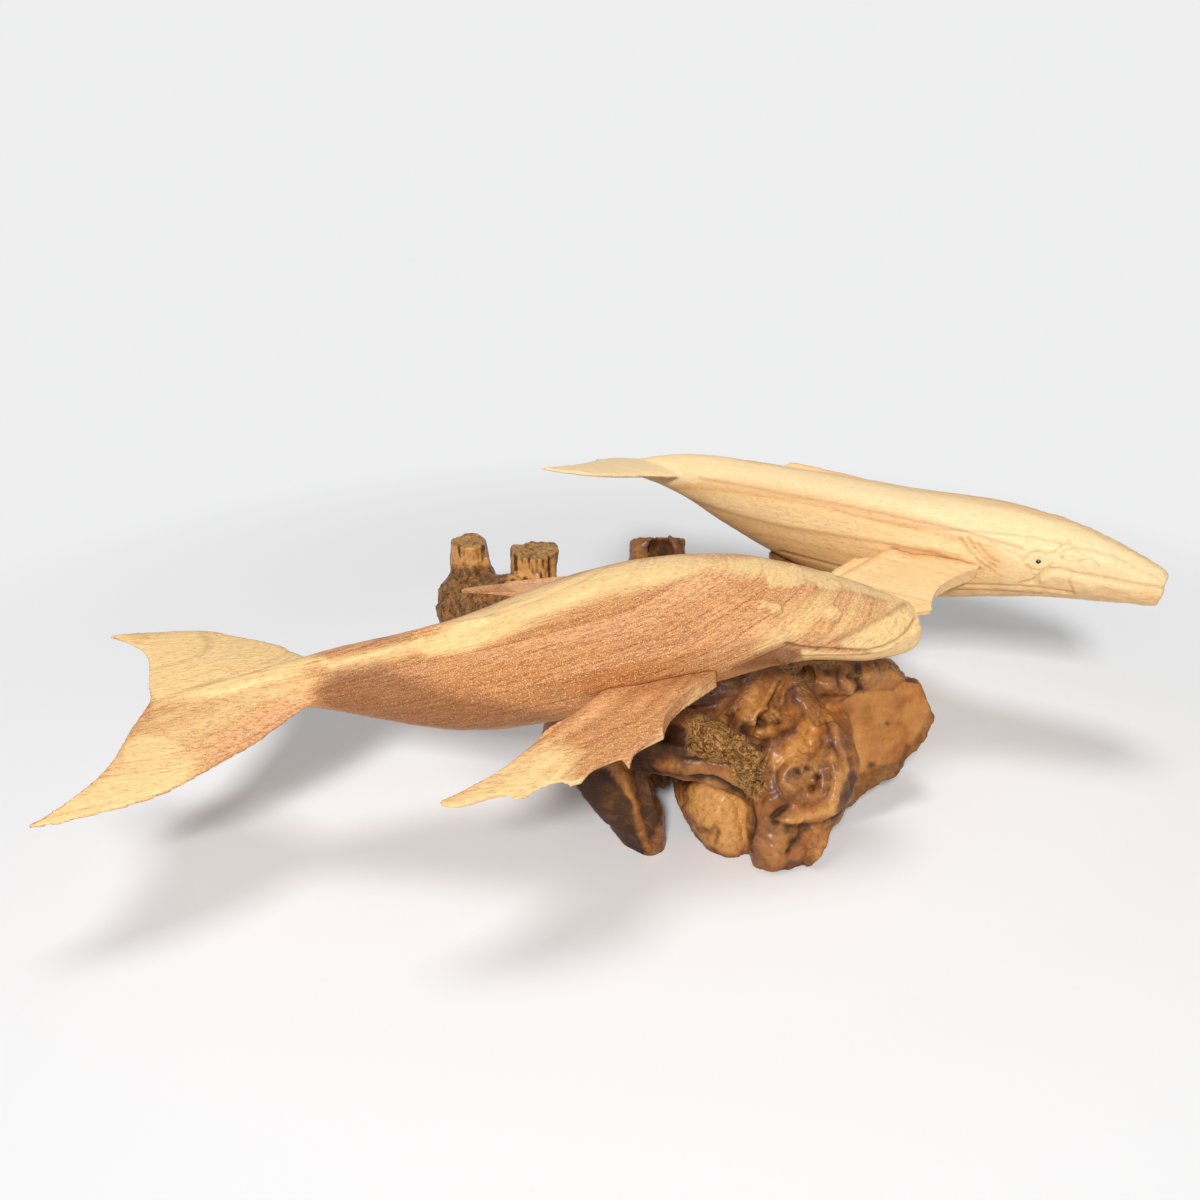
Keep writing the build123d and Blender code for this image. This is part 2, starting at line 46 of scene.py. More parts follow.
# Camera, at the photograph's place: 759 mm from the middle of the pair, 24 degrees up.
# It comes first because carved marks are set out by where the photograph shows them, in
# pixels of its 1200 by 1200 frame.
camera_place = Vector((-44.77, -712.77, 442.71)) * MM
camera_tilt = math.radians(24)
camera_lens = 30.0
camera_sensor = 36.0
camera_near = 10 * MM
photo_size = 1200
photo_scale = photo_size * camera_lens / camera_sensor
camera = bpy.data.objects.new("photo_camera", bpy.data.cameras.new("photo_camera"))
scene.collection.objects.link(camera)
scene.camera = camera
camera.data.lens = camera_lens
camera.data.sensor_width = camera_sensor
camera.data.clip_start = camera_near
camera.location = camera_place
camera.rotation_euler = (math.pi / 2 - camera_tilt, 0, 0)
look_ahead = np.array((0, math.cos(camera_tilt), -math.sin(camera_tilt)))
look_up = np.array((0, math.sin(camera_tilt), math.cos(camera_tilt)))

# Root base: one dug-up root, sawn at the feet and stubs, cleaned of bark in the hollows,
# sanded where it was sound and brushed with clear varnish. It is carved from its blank.
root_voxel = 2.66 * MM
merge_distance = 0.002 * MM
skin_passes = 8
wrap_lift = 0.6
root_golden = (0.45, 0.168, 0.035, 1)
root_amber = (0.25, 0.072, 0.012, 1)
root_umber = (0.095, 0.030, 0.008, 1)
root_bark_and_shade = (0.026, 0.012, 0.007, 1)
root_pale_and_highlight = (0.68, 0.335, 0.095, 1)
root_orange = (0.66, 0.25, 0.045, 1)
root_fibre = (0.80, 0.43, 0.145, 1)
root_plum = (0.205, 0.092, 0.046, 1)
root_dark_plum = (0.060, 0.024, 0.013, 1)


def settle(piece):
    """Makes the shape that a piece's modifiers give it its own mesh."""
    graph = bpy.context.evaluated_depsgraph_get()
    piece.data = bpy.data.meshes.new_from_object(piece.evaluated_get(graph))
    piece.modifiers.clear()
    piece.data.name = piece.name


def even_skin(node, name, voxel):
    """Copy of a blank with its doubles merged, under one even skin of small faces."""
    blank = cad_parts[node]
    work = bmesh.new()
    work.from_mesh(blank.data)
    bmesh.ops.remove_doubles(work, verts=work.verts, dist=merge_distance)
    mesh = bpy.data.meshes.new(name)
    work.to_mesh(mesh)
    work.free()
    piece = bpy.data.objects.new(name, mesh)
    scene.collection.objects.link(piece)
    skin = piece.modifiers.new("even_skin", "REMESH")
    skin.mode = "VOXEL"
    skin.voxel_size = voxel
    skin.adaptivity = 0
    settle(piece)
    sand(piece, skin_passes)
    set_skin(piece, skin_points(piece) + skin_normals(piece) * voxel * wrap_lift)
    snug = piece.modifiers.new("snug_skin", "SHRINKWRAP")
    snug.target = blank
    settle(piece)
    return piece


def sand(piece, passes, share=1.0, press=0.60, refill=0.62):
    """Evens out the skin, or the share of it that each point gives, and fills it out again."""
    points = skin_points(piece)
    ends = np.empty(len(piece.data.edges) * 2, np.int32)
    piece.data.edges.foreach_get("vertices", ends)
    first, second = ends.reshape(-1, 2).T
    neighbours = np.bincount(ends, minlength=len(points))
    share = np.broadcast_to(share, len(points))
    for _ in range(passes):
        for push in (press, -refill):
            for axis in range(3):
                line = points[:, axis]
                total = np.bincount(first, line[second], len(points))
                total += np.bincount(second, line[first], len(points))
                points[:, axis] = line + (total / neighbours - line) * push * share
    set_skin(piece, points)


def refine(piece, chosen):
    """Splits each face of the skin in four where all its points are chosen."""
    work = bmesh.new()
    work.from_mesh(piece.data)
    edges = [edge for edge in work.edges if all(chosen[vertex.index] for vertex in edge.verts)]
    bmesh.ops.subdivide_edges(work, edges=edges, cuts=1, use_grid_fill=True, smooth=0.6)
    work.to_mesh(piece.data)
    work.free()
    piece.data.update()


def skin_points(piece, kind="co"):
    """Points of the skin, or another value of each, as rows of X, Y and Z."""
    points = np.empty(len(piece.data.vertices) * 3, np.float32)
    piece.data.vertices.foreach_get(kind, points)
    return points.reshape(-1, 3).astype(float)


def skin_normals(piece):
    """Way that each point of the skin faces."""
    return skin_points(piece, "normal")


def set_skin(piece, points):
    """Moves the skin to new points."""
    piece.data.vertices.foreach_set("co", points.astype(np.float32).ravel())
    piece.data.update()


def path_distance(points, path):
    """Distance of each point from a line through several spots, or from a lone spot."""
    spots = [np.array(spot, float) for spot in path]
    if len(spots) == 1:
        return np.linalg.norm(points - spots[0], axis=1)
    nearest = np.full(len(points), np.inf)
    for start, end in zip(spots, spots[1:]):
        along = end - start
        share = np.clip((points - start) @ along / (along @ along), 0, 1)
        gap = np.linalg.norm(points - start - share[:, None] * along, axis=1)
        nearest = np.minimum(nearest, gap)
    return nearest


def bell(distance, width):
    """Soft bell that is 1 at the middle and fades over its width."""
    return np.exp(-((distance / width) ** 2))


def ramp(value, low, high):
    """Carries a value from 0 at its low end to 1 at its high end."""
    return np.clip((value - low) / (high - low), 0, 1)


def patch(pixels, outline, soft):
    """1 inside an outline drawn on the photograph, fading over a soft edge."""
    inside = np.zeros(len(pixels), bool)
    closed = outline + outline[:1]
    for (x1, y1), (x2, y2) in zip(closed, closed[1:]):
        spans = (y1 > pixels[:, 1]) != (y2 > pixels[:, 1])
        if y1 != y2:
            cross = x1 + (pixels[:, 1] - y1) * (x2 - x1) / (y2 - y1)
            inside ^= spans & (pixels[:, 0] < cross)
    gap = path_distance(pixels, closed)
    return ramp(np.where(inside, gap, -gap), -soft, soft)


def photo_pixels(points):
    """Pixels of the photograph where points would show."""
    away = points - np.array(camera_place)
    depth = away @ look_ahead
    across = photo_size / 2 + photo_scale * away[:, 0] / depth
    down = photo_size / 2 - photo_scale * (away @ look_up) / depth
    return np.stack([across, down], axis=1)


def facing_camera(points, normals, firmness=3.0):
    """1 where the skin faces the camera, 0 where it faces away."""
    away = points - np.array(camera_place)
    away /= np.linalg.norm(away, axis=1)[:, None]
    return np.clip(-(away * normals).sum(axis=1) * firmness, 0, 1)


def cloud(points, size, depth, seed):
    """Soft random swelling of a given grain size at each point, about -1 to 1."""
    shift = Vector((seed * 7.3, seed * 3.1, seed * 5.7))
    return np.array([noise.fractal(Vector(spot) + shift, 0.9, 2.0, depth) for spot in points / size])


def strands(points, way, size, seed):
    """Random streaks that run one way over the skin, about -1 to 1."""
    stretch = 0.9
    way = np.array(way) / np.linalg.norm(way)
    return cloud(points - (points @ way)[:, None] * way * stretch, size, 2, seed)


def stain(piece, name, amount):
    """Stores how strongly a tone shows at each point of the skin."""
    layer = piece.data.attributes.new(name, "FLOAT", "POINT")
    amount = np.broadcast_to(np.clip(amount, 0, 1), len(layer.data))
    layer.data.foreach_set("value", amount.astype(np.float32))


def smooth_faces(piece):
    """Shades a piece as one soft surface."""
    piece.data.polygons.foreach_set("use_smooth", [True] * len(piece.data.polygons))


# The skin is finer where the photograph shows the root close by
near_outline = [(640, 640), (945, 640), (945, 780), (860, 882), (700, 882), (612, 800)]
near_limit = -20 * MM
far_stubs_outline = [(430, 525), (690, 525), (690, 600), (430, 628)]
root = even_skin("root_base", "knotty_root", root_voxel)
sand(root, 2)
points = skin_points(root)
pixels = photo_pixels(points)
near_part = patch(pixels, near_outline, 1) * (points[:, 1] < near_limit)
far_stubs = patch(pixels, far_stubs_outline, 1) * (points[:, 1] > 0)
seen = facing_camera(points, skin_normals(root)) > 0
refine(root, (near_part + far_stubs > 0.5) & seen)
sand(root, 2)
points = skin_points(root)
normals = skin_normals(root)
pixels = photo_pixels(points)
facing = facing_camera(points, normals)

# The sawn block on the right keeps a flat sanded face
block_spot = np.array((155.23, -94.28, 55.2)) * MM
block_facing = np.array((0.27, -0.90, 0.34))
block_facing /= np.linalg.norm(block_facing)
block_depth = 3.0 * MM
stub_height = 96 * MM
block_gap = np.abs((points - block_spot) @ block_facing)
on_block = bell(block_gap, block_depth) * ramp(normals @ block_facing, 0.75, 0.95)
sawn_tops = ramp(normals[:, 2], 0.80, 0.95) * (points[:, 2] > stub_height)
rough_share = 1 - on_block

# Grown unevenness in millimetres: broad swellings, knobs, ripples and grit
swell = cloud(points, 30 * MM, 2, seed=3)
lumps = cloud(points, 12 * MM, 2, seed=9)
ripples = cloud(points, 5.5 * MM, 2, seed=17)
grit = cloud(points, 2.8 * MM, 2, seed=27)
height = swell * 1.9 + lumps * 1.3 + ripples * 0.55 + grit * 0.16
height *= rough_share * (1 - 0.6 * sawn_tops)
# Darker in the hollows of this unevenness, and lighter on its rises as painted highlight
bark_and_shade = 0.50 * ramp(-swell, 0.15, 0.75) + 0.45 * ramp(-lumps, 0.15, 0.75)
bark_and_shade += 0.25 * ramp(-ripples, 0.2, 0.8)
bark_and_shade *= rough_share
pale_and_highlight = 0.40 * ramp(swell + 0.5 * lumps, 0.10, 0.80) * rough_share
pale_and_highlight += on_block * (0.25 + 0.5 * cloud(points, 20 * MM, 3, seed=43))
plum = np.clip(cloud(points, 26 * MM, 2, seed=41) * 1.5, 0, 0.55) * rough_share

# Limbs, grooves and holes where the photograph shows them: path and width in pixels, rise
# in millimetres, then how much bark and painted shade, pale wood and dark plum figure each
# one carries; grooves and holes get painted shade in their depths
root_limbs = [
    ([(759, 671), (754, 693), (748, 718)], 9.0, 2.6, -0.5, 0.45, -0.3),
    ([(775, 683), (766, 700), (753, 716)], 1.9, 1.2, -0.3, 0.6, -0.3),
    ([(794, 694)], 11.5, 2.2, -0.3, -0.2, 0.9),
    ([(753, 724), (755, 714), (761, 709), (769, 708), (775, 712), (779, 719)], 2.1, 1.9, -0.3, 0.5, 0),
    ([(758, 734), (766, 731)], 5.0, 1.3, -0.4, 0.9, -0.3),
    ([(765, 744), (780, 738), (797, 729)], 3.6, 1.5, 0.2, -0.2, 0.8),
    ([(830, 717), (836, 737), (844, 754), (848, 770)], 2.6, 1.4, -0.3, 0.5, 0),
    ([(822, 738)], 11.0, 1.6, 0, 0.1, 0.75),
    ([(832, 757)], 4.5, 1.5, -0.3, 0.6, -0.2),
    ([(842, 772), (838, 790), (831, 806)], 5.0, 1.4, -0.5, 0.7, -0.4),
    ([(782, 823), (798, 819), (812, 815), (830, 812)], 4.6, 1.9, -0.5, 0.7, -0.4),
    ([(829, 683)], 6.5, 1.9, 0.1, 0.15, 0.4),
    ([(849, 687)], 4.6, 1.6, -0.3, 0.65, 0),
    ([(874, 673), (888, 682)], 7.5, 1.9, -0.1, 0.25, 0.45),
    ([(690, 806), (700, 798)], 5.0, 1.4, -0.2, 0.2, 0),
    ([(700, 808)], 8.0, 1.2, -0.2, 0.2, 0),
    ([(724, 800)], 7.0, 1.2, -0.2, 0.2, 0),
    ([(714, 816)], 6.5, 0.8, -0.4, 1.0, -0.4),
    ([(732, 838), (734, 826)], 9.0, 1.0, -0.5, 0.7, -0.5),
    ([(664, 766), (699, 769), (729, 779), (750, 792)], 7.0, 1.6, -0.5, 0.30, -0.7),
    ([(778, 852), (784, 838)], 9.0, 1.2, -0.2, 0.25, 0),
    ([(784, 782), (792, 790)], 4.2, 1.4, -0.3, 0.55, 0),
    ([(637, 546), (660, 536), (678, 546)], 5.5, 1.6, 0, 0.1, 0.6),
]
root_grooves = [
    ([(780, 680), (772, 702), (758, 722)], 1.8, -1.6, 0.8, 0, 0),
    ([(826, 722), (830, 738), (838, 756)], 2.2, -1.0, 0.5, -0.2, 0.3),
    ([(698, 828), (710, 832), (716, 822)], 2.6, -2.0, 0.45, 0, 0),
    ([(714, 828), (730, 824), (742, 820)], 3.0, -1.2, 0.25, 0, 0),
    ([(838, 672), (841, 690)], 2.6, -2.2, 0.75, -0.2, 0),
    ([(858, 666), (859, 688)], 3.4, -2.4, 0.85, -0.2, 0),
    ([(834, 706), (856, 692), (893, 689), (916, 673)], 2.2, -1.2, 0.45, -0.2, 0),
    ([(744, 728), (750, 738), (764, 748)], 3.2, -2.2, 0.7, -0.2, 0),
    ([(682, 759), (707, 761), (731, 764)], 1.7, -1.9, 0.9, -0.3, 0),
    # This groove is the dark gap under the broken stub: its dark is painted shadow
    ([(682, 781), (701, 777), (719, 781), (744, 796)], 2.8, -3.6, 1.0, -0.6, 0),
    ([(772, 817), (780, 811), (789, 806)], 2.6, -2.4, 0.75, -0.3, 0.2),
    ([(773, 822), (794, 827), (822, 826), (836, 816)], 2.4, -1.8, 0.6, -0.3, 0.2),
    ([(789, 852), (796, 841), (807, 830)], 2.8, -1.4, 0.6, -0.2, 0.3),
    ([(718, 832), (715, 844)], 3.6, -0.9, 0.85, -0.5, 0.2),
    ([(750, 800), (753, 820), (750, 840)], 2.6, -2.4, 0.6, -0.3, 0.2),
    ([(768, 756), (758, 772), (762, 800)], 3.0, -1.6, 0.45, -0.1, 0.2),
    ([(690, 722), (716, 720), (744, 732)], 2.2, -1.3, 0.6, -0.2, 0),
]
root_holes = [
    # This hole darkens the foot's lower left with painted shadow
    ([(688, 848)], 13.0, -4.5, 0.7, -0.3, 0),
    ([(731, 713), (732, 722)], 3.6, -4.5, 1.0, -0.4, 0),
    ([(738, 709)], 2.0, -1.8, 0.9, 0, 0),
    ([(726, 713)], 1.8, -1.4, 0.8, 0, 0),
    ([(761, 723)], 5.2, -7.0, 1.2, -0.6, 0),
    ([(777, 721)], 3.2, -4.5, 1.1, -0.4, 0),
    ([(811, 788)], 3.2, -3.2, 1.0, -0.3, 0),
    ([(817, 777)], 2.8, -2.2, 0.8, -0.3, 0),
    ([(797, 771)], 2.8, -2.2, 0.75, -0.3, 0),
    ([(806, 768)], 2.2, -1.8, 0.7, -0.3, 0),
    ([(850, 676)], 2.4, -2.6, 1.0, -0.3, 0),
    ([(888, 724)], 2.4, -0.5, 0.75, 0, 0),
    ([(871, 765)], 4.2, -0.8, 0.8, 0, 0),
    ([(650, 549)], 7.5, -4.5, 1.0, -0.3, 0),
    ([(664, 551)], 6.0, -3.5, 1.0, -0.3, 0),
]
full_waver_width = 4
waver = 1.5 * cloud(points, 8 * MM, 2, seed=21)
for path, width, rise, more_bark_and_shade, more_pale_and_highlight, more_plum in root_limbs + root_grooves + root_holes:
    gap = path_distance(pixels, path) + waver * min(width / full_waver_width, 1)
    mark = bell(np.maximum(gap, 0), width) * facing
    height += mark * rise * (1 + 0.25 * lumps)
    bark_and_shade += mark * more_bark_and_shade
    pale_and_highlight += mark * more_pale_and_highlight
    plum += mark * more_plum

# Burl at the bottom: a swollen ring about pitted wood
burl_pixel = (803, 779)
burl_ring = 17
burl_ditch = 27
burl_gap = path_distance(pixels, [burl_pixel]) + waver * 1.5
burl_edge = bell(burl_gap - burl_ditch, 3)
burl_pits = bell(burl_gap, 14) * ramp(-ripples, -0.3, 0.6)
height += (bell(burl_gap - burl_ring, 6) * 1.5 - burl_edge) * facing
bark_and_shade += (0.35 * burl_edge + 0.60 * burl_pits) * facing
points += normals * (height * MM)[:, None]

# Areas of the root on the photograph, each as outline and soft edge: torn stub, dark face
# of the left leg, weathered and in painted shade, and its resin-brown face, two far stubs
# and the mass below them, band of painted shade along the lower rim, light foot, painted
# shade under the chin, wedge of painted shade, open valley, wood with plum figure and the
# glow below the burl
root_areas = [
    ([(688, 724), (722, 719), (757, 742), (764, 762), (764, 790), (755, 798), (744, 792),
      (728, 766), (703, 758), (688, 748)], 4),
    ([(520, 740), (582, 770), (608, 769), (632, 804), (637, 835), (646, 852), (640, 856),
      (600, 835)], 2.5),
    ([(630, 748), (666, 722), (690, 728), (690, 752), (682, 784), (668, 808), (654, 836),
      (648, 850), (636, 810), (628, 775)], 4),
    ([(446, 525), (492, 525), (492, 566), (446, 566)], 3),
    ([(508, 532), (562, 532), (562, 592), (508, 592)], 3),
    ([(425, 570), (450, 562), (512, 568), (512, 640), (425, 640)], 4),
    ([(842, 783), (851, 774), (871, 769), (898, 759), (922, 725), (934, 700), (948, 760),
      (860, 890), (830, 815)], 3),
    ([(685, 793), (707, 779), (737, 794), (749, 808), (746, 838), (736, 853), (721, 853),
      (712, 845), (712, 831), (695, 818), (682, 804)], 3),
    ([(690, 676), (800, 658), (900, 650), (905, 662), (858, 676), (800, 672), (700, 690)], 4),
    ([(793, 672), (814, 676), (836, 704), (820, 707), (806, 699)], 3),
    ([(768, 757), (790, 746), (804, 722), (820, 706), (836, 706), (826, 722), (812, 750),
      (800, 762), (776, 770)], 5),
    ([(640, 735), (668, 700), (700, 684), (745, 676), (742, 712), (690, 722), (660, 735)], 6),
    ([(760, 800), (840, 800), (830, 850), (775, 868)], 8),
]
areas = [patch(pixels, outline, soft) * facing for outline, soft in root_areas]
torn_share, leg_dark_and_shaded, leg_resin, outer_stub, inner_stub, far_mass, rim_shade_band = areas[:7]
foot_light, chin_shade, wedge_shade, valley, plum_patch, low_glow = areas[7:]

# Broken stub on the left: shredded fibres stand all over its upper side and its end
torn_lift = 3.0 * MM
torn_share *= ramp(-points[:, 1], 80 * MM, 96 * MM)
torn_fibres = strands(points, (0.80, -0.42, -0.42), 5.5 * MM, seed=31)
shreds = 1 - np.minimum(np.abs(torn_fibres + 0.9 * ripples + 0.4 * lumps) * 2.6, 1)
points += normals * (torn_share * (shreds - 0.4) * torn_lift)[:, None]

# Left leg: a dark face, weathered and in painted shade, a worn pale edge and a resin-brown right face
leg_edge_path = [(610, 768), (622, 778), (633, 798), (641, 822), (648, 846)]
leg_edge = bell(path_distance(pixels, leg_edge_path), 2.4) * facing
leg_strands = strands(points, (0.35, 0.1, -0.93), 4.5 * MM, seed=33)
points += normals * ((leg_dark_and_shaded + leg_resin) * leg_strands * 0.5 * MM)[:, None]

# Far stubs: golden sides with upright streaks and crumbled tops, on a mass of dark strands
far_gold = outer_stub + inner_stub
far_strands = strands(points, (0.45, 0.0, -0.9), 4.5 * MM, seed=34)
upright = strands(points, (0, 0, 1), 4.5 * MM, seed=35)
rise = far_mass * far_strands * 1.2 + far_gold * upright * 0.5 + sawn_tops * ripples * 0.9
points += normals * (rise * MM)[:, None]
points[:, 2] = np.maximum(points[:, 2], 0)
set_skin(root, points)
smooth_faces(root)

# Tones of the root: bark stays where no sander reached, painted shade darkens faces turned
# down and back, the left leg, the lower rim and the wood under the front whale's chin, and
# varnish glows orange in the open valley
back_spot = np.array((-152, 118, 36)) * MM
back_reach = 70 * MM
back_mass = bell(path_distance(points, [back_spot]), back_reach) * (1 - far_mass)
# Painted shade on faces turned down and on faces turned back
low_side_shade = ramp(-normals[:, 2], 0.15, 0.75)
back_faces_shade = ramp(normals[:, 1], 0.2, 0.9)
bark_and_shade += 1.30 * leg_dark_and_shaded + 0.90 * leg_resin - 0.3 * leg_edge
bark_and_shade += 0.55 * back_mass + 0.35 * low_side_shade + 0.30 * back_faces_shade
bark_and_shade += 0.60 * rim_shade_band + 0.35 * chin_shade + 0.55 * wedge_shade - 0.3 * valley - 0.3 * foot_light
bark_and_shade += far_mass * (0.40 + 2.4 * far_strands)
bark_and_shade -= far_gold * (0.55 - 1.5 * ramp(upright, 0, 0.5))
bark_and_shade += 0.2 * sawn_tops * ramp(-ripples, 0, 0.5) + torn_share * (0.15 - 0.7 * shreds)
pale_and_highlight += 0.85 * foot_light + 0.30 * valley + 0.95 * far_gold + 0.15 * leg_edge
pale_and_highlight += torn_share * 0.75 * shreds + 0.3 * sawn_tops - leg_resin
plum += 0.45 * plum_patch - torn_share - foot_light - leg_resin - valley
glow = valley + 0.5 * wedge_shade + 0.35 * low_glow + 0.15 * leg_resin
stain(root, "bark_and_shade", bark_and_shade)
stain(root, "pale_and_highlight", pale_and_highlight)
stain(root, "plum", plum)
stain(root, "torn", torn_share + 0.55 * sawn_tops + 0.25 * far_mass)
stain(root, "sanded", on_block)
stain(root, "glow", glow)


def tone_group(name, inputs, outputs):
    """New shader node group with named sockets."""
    group = bpy.data.node_groups.new(name, "ShaderNodeTree")
    for label, kind, value in inputs:
        socket = group.interface.new_socket(label, in_out="INPUT", socket_type=kind)
        if value is not None:
            socket.default_value = value
    for label in outputs:
        group.interface.new_socket(label, in_out="OUTPUT", socket_type="NodeSocketFloat")
    return group, group.nodes.new("NodeGroupInput"), group.nodes.new("NodeGroupOutput")


def fill(node, values):
    """Sets inputs of a node."""
    for label, value in values.items():
        node.inputs[label].default_value = value


def node_math(tree, kind, first, second=None, third=None):
    """One arithmetic node, with numbers or sockets as its terms."""
    node = tree.nodes.new("ShaderNodeMath")
    node.operation = kind
    for slot, term in zip(node.inputs, (first, second, third)):
        if term is None:
            continue
        if isinstance(term, (int, float)):
            slot.default_value = term
        else:
            tree.links.new(term, slot)
    return node.outputs[0]


def node_times(tree, first, second):
    """Product of two numbers or sockets."""
    return node_math(tree, "MULTIPLY", first, second)


def node_plus(tree, first, second):
    """Sum of two numbers or sockets."""
    return node_math(tree, "ADD", first, second)


def node_mix(tree, share, first, second):
    """Colour between two colours or colour sockets."""
    node = tree.nodes.new("ShaderNodeMix")
    node.data_type = "RGBA"
    for slot, term in ((node.inputs["Factor"], share), (node.inputs[6], first), (node.inputs[7], second)):
        if isinstance(term, (int, float, tuple)):
            slot.default_value = term
        else:
            tree.links.new(term, slot)
    return node.outputs[2]


def node_blend(tree, share, first, second, place):
    """Sends the blend of two shaders to a surface."""
    node = tree.nodes.new("ShaderNodeMixShader")
    for slot, term in zip(node.inputs, (share, first.outputs[0], second.outputs[0])):
        tree.links.new(term, slot)
    tree.links.new(node.outputs[0], place.inputs["Surface"])


def node_noise(tree, vector, scale, detail, rough=0.55, flat=False, warp=0.0):
    """Noise texture read at a vector socket, or along one number when it is flat."""
    node = tree.nodes.new("ShaderNodeTexNoise")
    if flat:
        node.noise_dimensions = "1D"
    fill(node, {"Scale": scale, "Detail": detail, "Roughness": rough, "Distortion": warp})
    tree.links.new(vector, node.inputs["W" if flat else "Vector"])
    return node.outputs["Fac"]


def node_turn(tree, vector, place=(0, 0, 0), turn=(0, 0, 0), scale=(1, 1, 1), kind="POINT"):
    """Coordinates moved, turned and stretched."""
    node = tree.nodes.new("ShaderNodeMapping")
    node.vector_type = kind
    fill(node, {"Location": place, "Rotation": turn, "Scale": scale})
    tree.links.new(vector, node.inputs["Vector"])
    return node.outputs[0]


def node_range(tree, value, low, high, start=0.0, end=1.0):
    """Carries a value from one range to another, held at the ends."""
    node = tree.nodes.new("ShaderNodeMapRange")
    fill(node, {"From Min": low, "From Max": high, "To Min": start, "To Max": end})
    tree.links.new(value, node.inputs["Value"])
    return node.outputs[0]


def stain_socket(tree, name):
    """Reads a tone that was stored on the skin."""
    node = tree.nodes.new("ShaderNodeAttribute")
    node.attribute_name = name
    return node.outputs["Fac"]


def new_material(name, roughness, coat, coat_roughness=0.15):
    """Material with its shader, and the Object coordinates that its patterns read."""
    material = bpy.data.materials.new(name)
    material.use_nodes = True
    tree = material.node_tree
    shader = tree.nodes["Principled BSDF"]
    fill(shader, {"Roughness": roughness, "Coat Weight": coat, "Coat Roughness": coat_roughness})
    coordinates = tree.nodes.new("ShaderNodeTexCoord").outputs["Object"]
    return material, tree, shader, coordinates


def add_bump(tree, shader, height, distance, strength=1.0):
    """Fine relief on a material."""
    node = tree.nodes.new("ShaderNodeBump")
    fill(node, {"Strength": strength, "Distance": distance})
    tree.links.new(height, node.inputs["Height"])
    tree.links.new(node.outputs[0], shader.inputs["Normal"])


# Figure of the root wood: cloudy gold and amber, marbled where the grain curls round knots
figure, enter, leave = tone_group(
    "root_figure",
    [("Vector", "NodeSocketVector", None)],
    ["Marble", "Clouds", "Specks", "Shreds"],
)
source = enter.outputs["Vector"]
marble = node_noise(figure, source, scale=48, detail=6, rough=0.62, warp=2.4)
figure.links.new(node_range(figure, marble, 0.40, 0.66), leave.inputs["Marble"])
clouds = node_noise(figure, source, scale=19, detail=5, rough=0.6, warp=0.8)
figure.links.new(node_range(figure, clouds, 0.36, 0.62), leave.inputs["Clouds"])
specks = node_noise(figure, source, scale=330, detail=4, rough=0.65)
figure.links.new(node_range(figure, specks, 0.52, 0.70), leave.inputs["Specks"])
fibre_noise = node_noise(figure, source, scale=105, detail=3, rough=0.62, warp=3.2)
off_fibre = node_math(figure, "ABSOLUTE", node_math(figure, "SUBTRACT", fibre_noise, 0.5))
figure.links.new(node_range(figure, off_fibre, 0.01, 0.13, 1.0, 0.0), leave.inputs["Shreds"])

root_wood, tree, shader, coordinates = new_material("varnished_root", 0.45, 0.3, 0.26)
shader.inputs["Specular IOR Level"].default_value = 0.18
grain = tree.nodes.new("ShaderNodeGroup")
grain.node_tree = figure
tree.links.new(coordinates, grain.inputs["Vector"])
torn = stain_socket(tree, "torn")
sanded = stain_socket(tree, "sanded")
colour = node_mix(tree, grain.outputs["Clouds"], root_amber, root_golden)
marble_share = node_times(tree, grain.outputs["Marble"], node_range(tree, sanded, 0, 1, 0.80, 0.22))
colour = node_mix(tree, marble_share, colour, root_umber)
plum_figure = node_mix(tree, grain.outputs["Marble"], root_plum, root_dark_plum)
colour = node_mix(tree, node_times(tree, stain_socket(tree, "plum"), 0.8), colour, plum_figure)
colour = node_mix(tree, node_times(tree, stain_socket(tree, "glow"), 0.65), colour, root_orange)
colour = node_mix(tree, node_times(tree, stain_socket(tree, "pale_and_highlight"), 0.8), colour, root_pale_and_highlight)
broken = node_noise(tree, coordinates, scale=75, detail=5, rough=0.68, warp=0.6)
bark_and_shade_share = node_plus(tree, stain_socket(tree, "bark_and_shade"), node_range(tree, broken, 0.3, 0.7, -0.30, 0.30))
bark_and_shade_share = node_range(tree, bark_and_shade_share, 0.12, 0.95, 0.0, 0.90)
# Dark of the bark and of painted shade
colour = node_mix(tree, bark_and_shade_share, colour, root_bark_and_shade)
speck_share = node_times(tree, grain.outputs["Specks"], node_range(tree, sanded, 0, 1, 0.45, 0.10))
colour = node_mix(tree, speck_share, colour, root_umber)
shred_share = node_times(tree, torn, node_range(tree, grain.outputs["Shreds"], 0, 1, 0.02, 0.95))
colour = node_mix(tree, shred_share, colour, root_fibre)
gap_share = node_times(tree, torn, node_range(tree, grain.outputs["Shreds"], 0, 1, 0.60, 0.0))
colour = node_mix(tree, gap_share, colour, root_umber)
tree.links.new(colour, shader.inputs["Base Color"])
tree.links.new(node_range(tree, bark_and_shade_share, 0.0, 0.9, 0.38, 0.52), shader.inputs["Roughness"])
bare = node_math(tree, "MAXIMUM", torn, bark_and_shade_share)
tree.links.new(node_range(tree, bare, 0.1, 0.7, 0.24, 0.02), shader.inputs["Coat Weight"])
relief = node_times(tree, node_noise(tree, coordinates, scale=170, detail=5, rough=0.62), 1.7)
relief = node_plus(tree, relief, node_noise(tree, coordinates, scale=70, detail=3, warp=1.2))
relief = node_plus(tree, relief, node_times(tree, shred_share, 1.8))
add_bump(tree, shader, relief, distance=1.5 * MM, strength=0.85)
root.data.materials.append(root_wood)
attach(root, "root")
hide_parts("root_base")

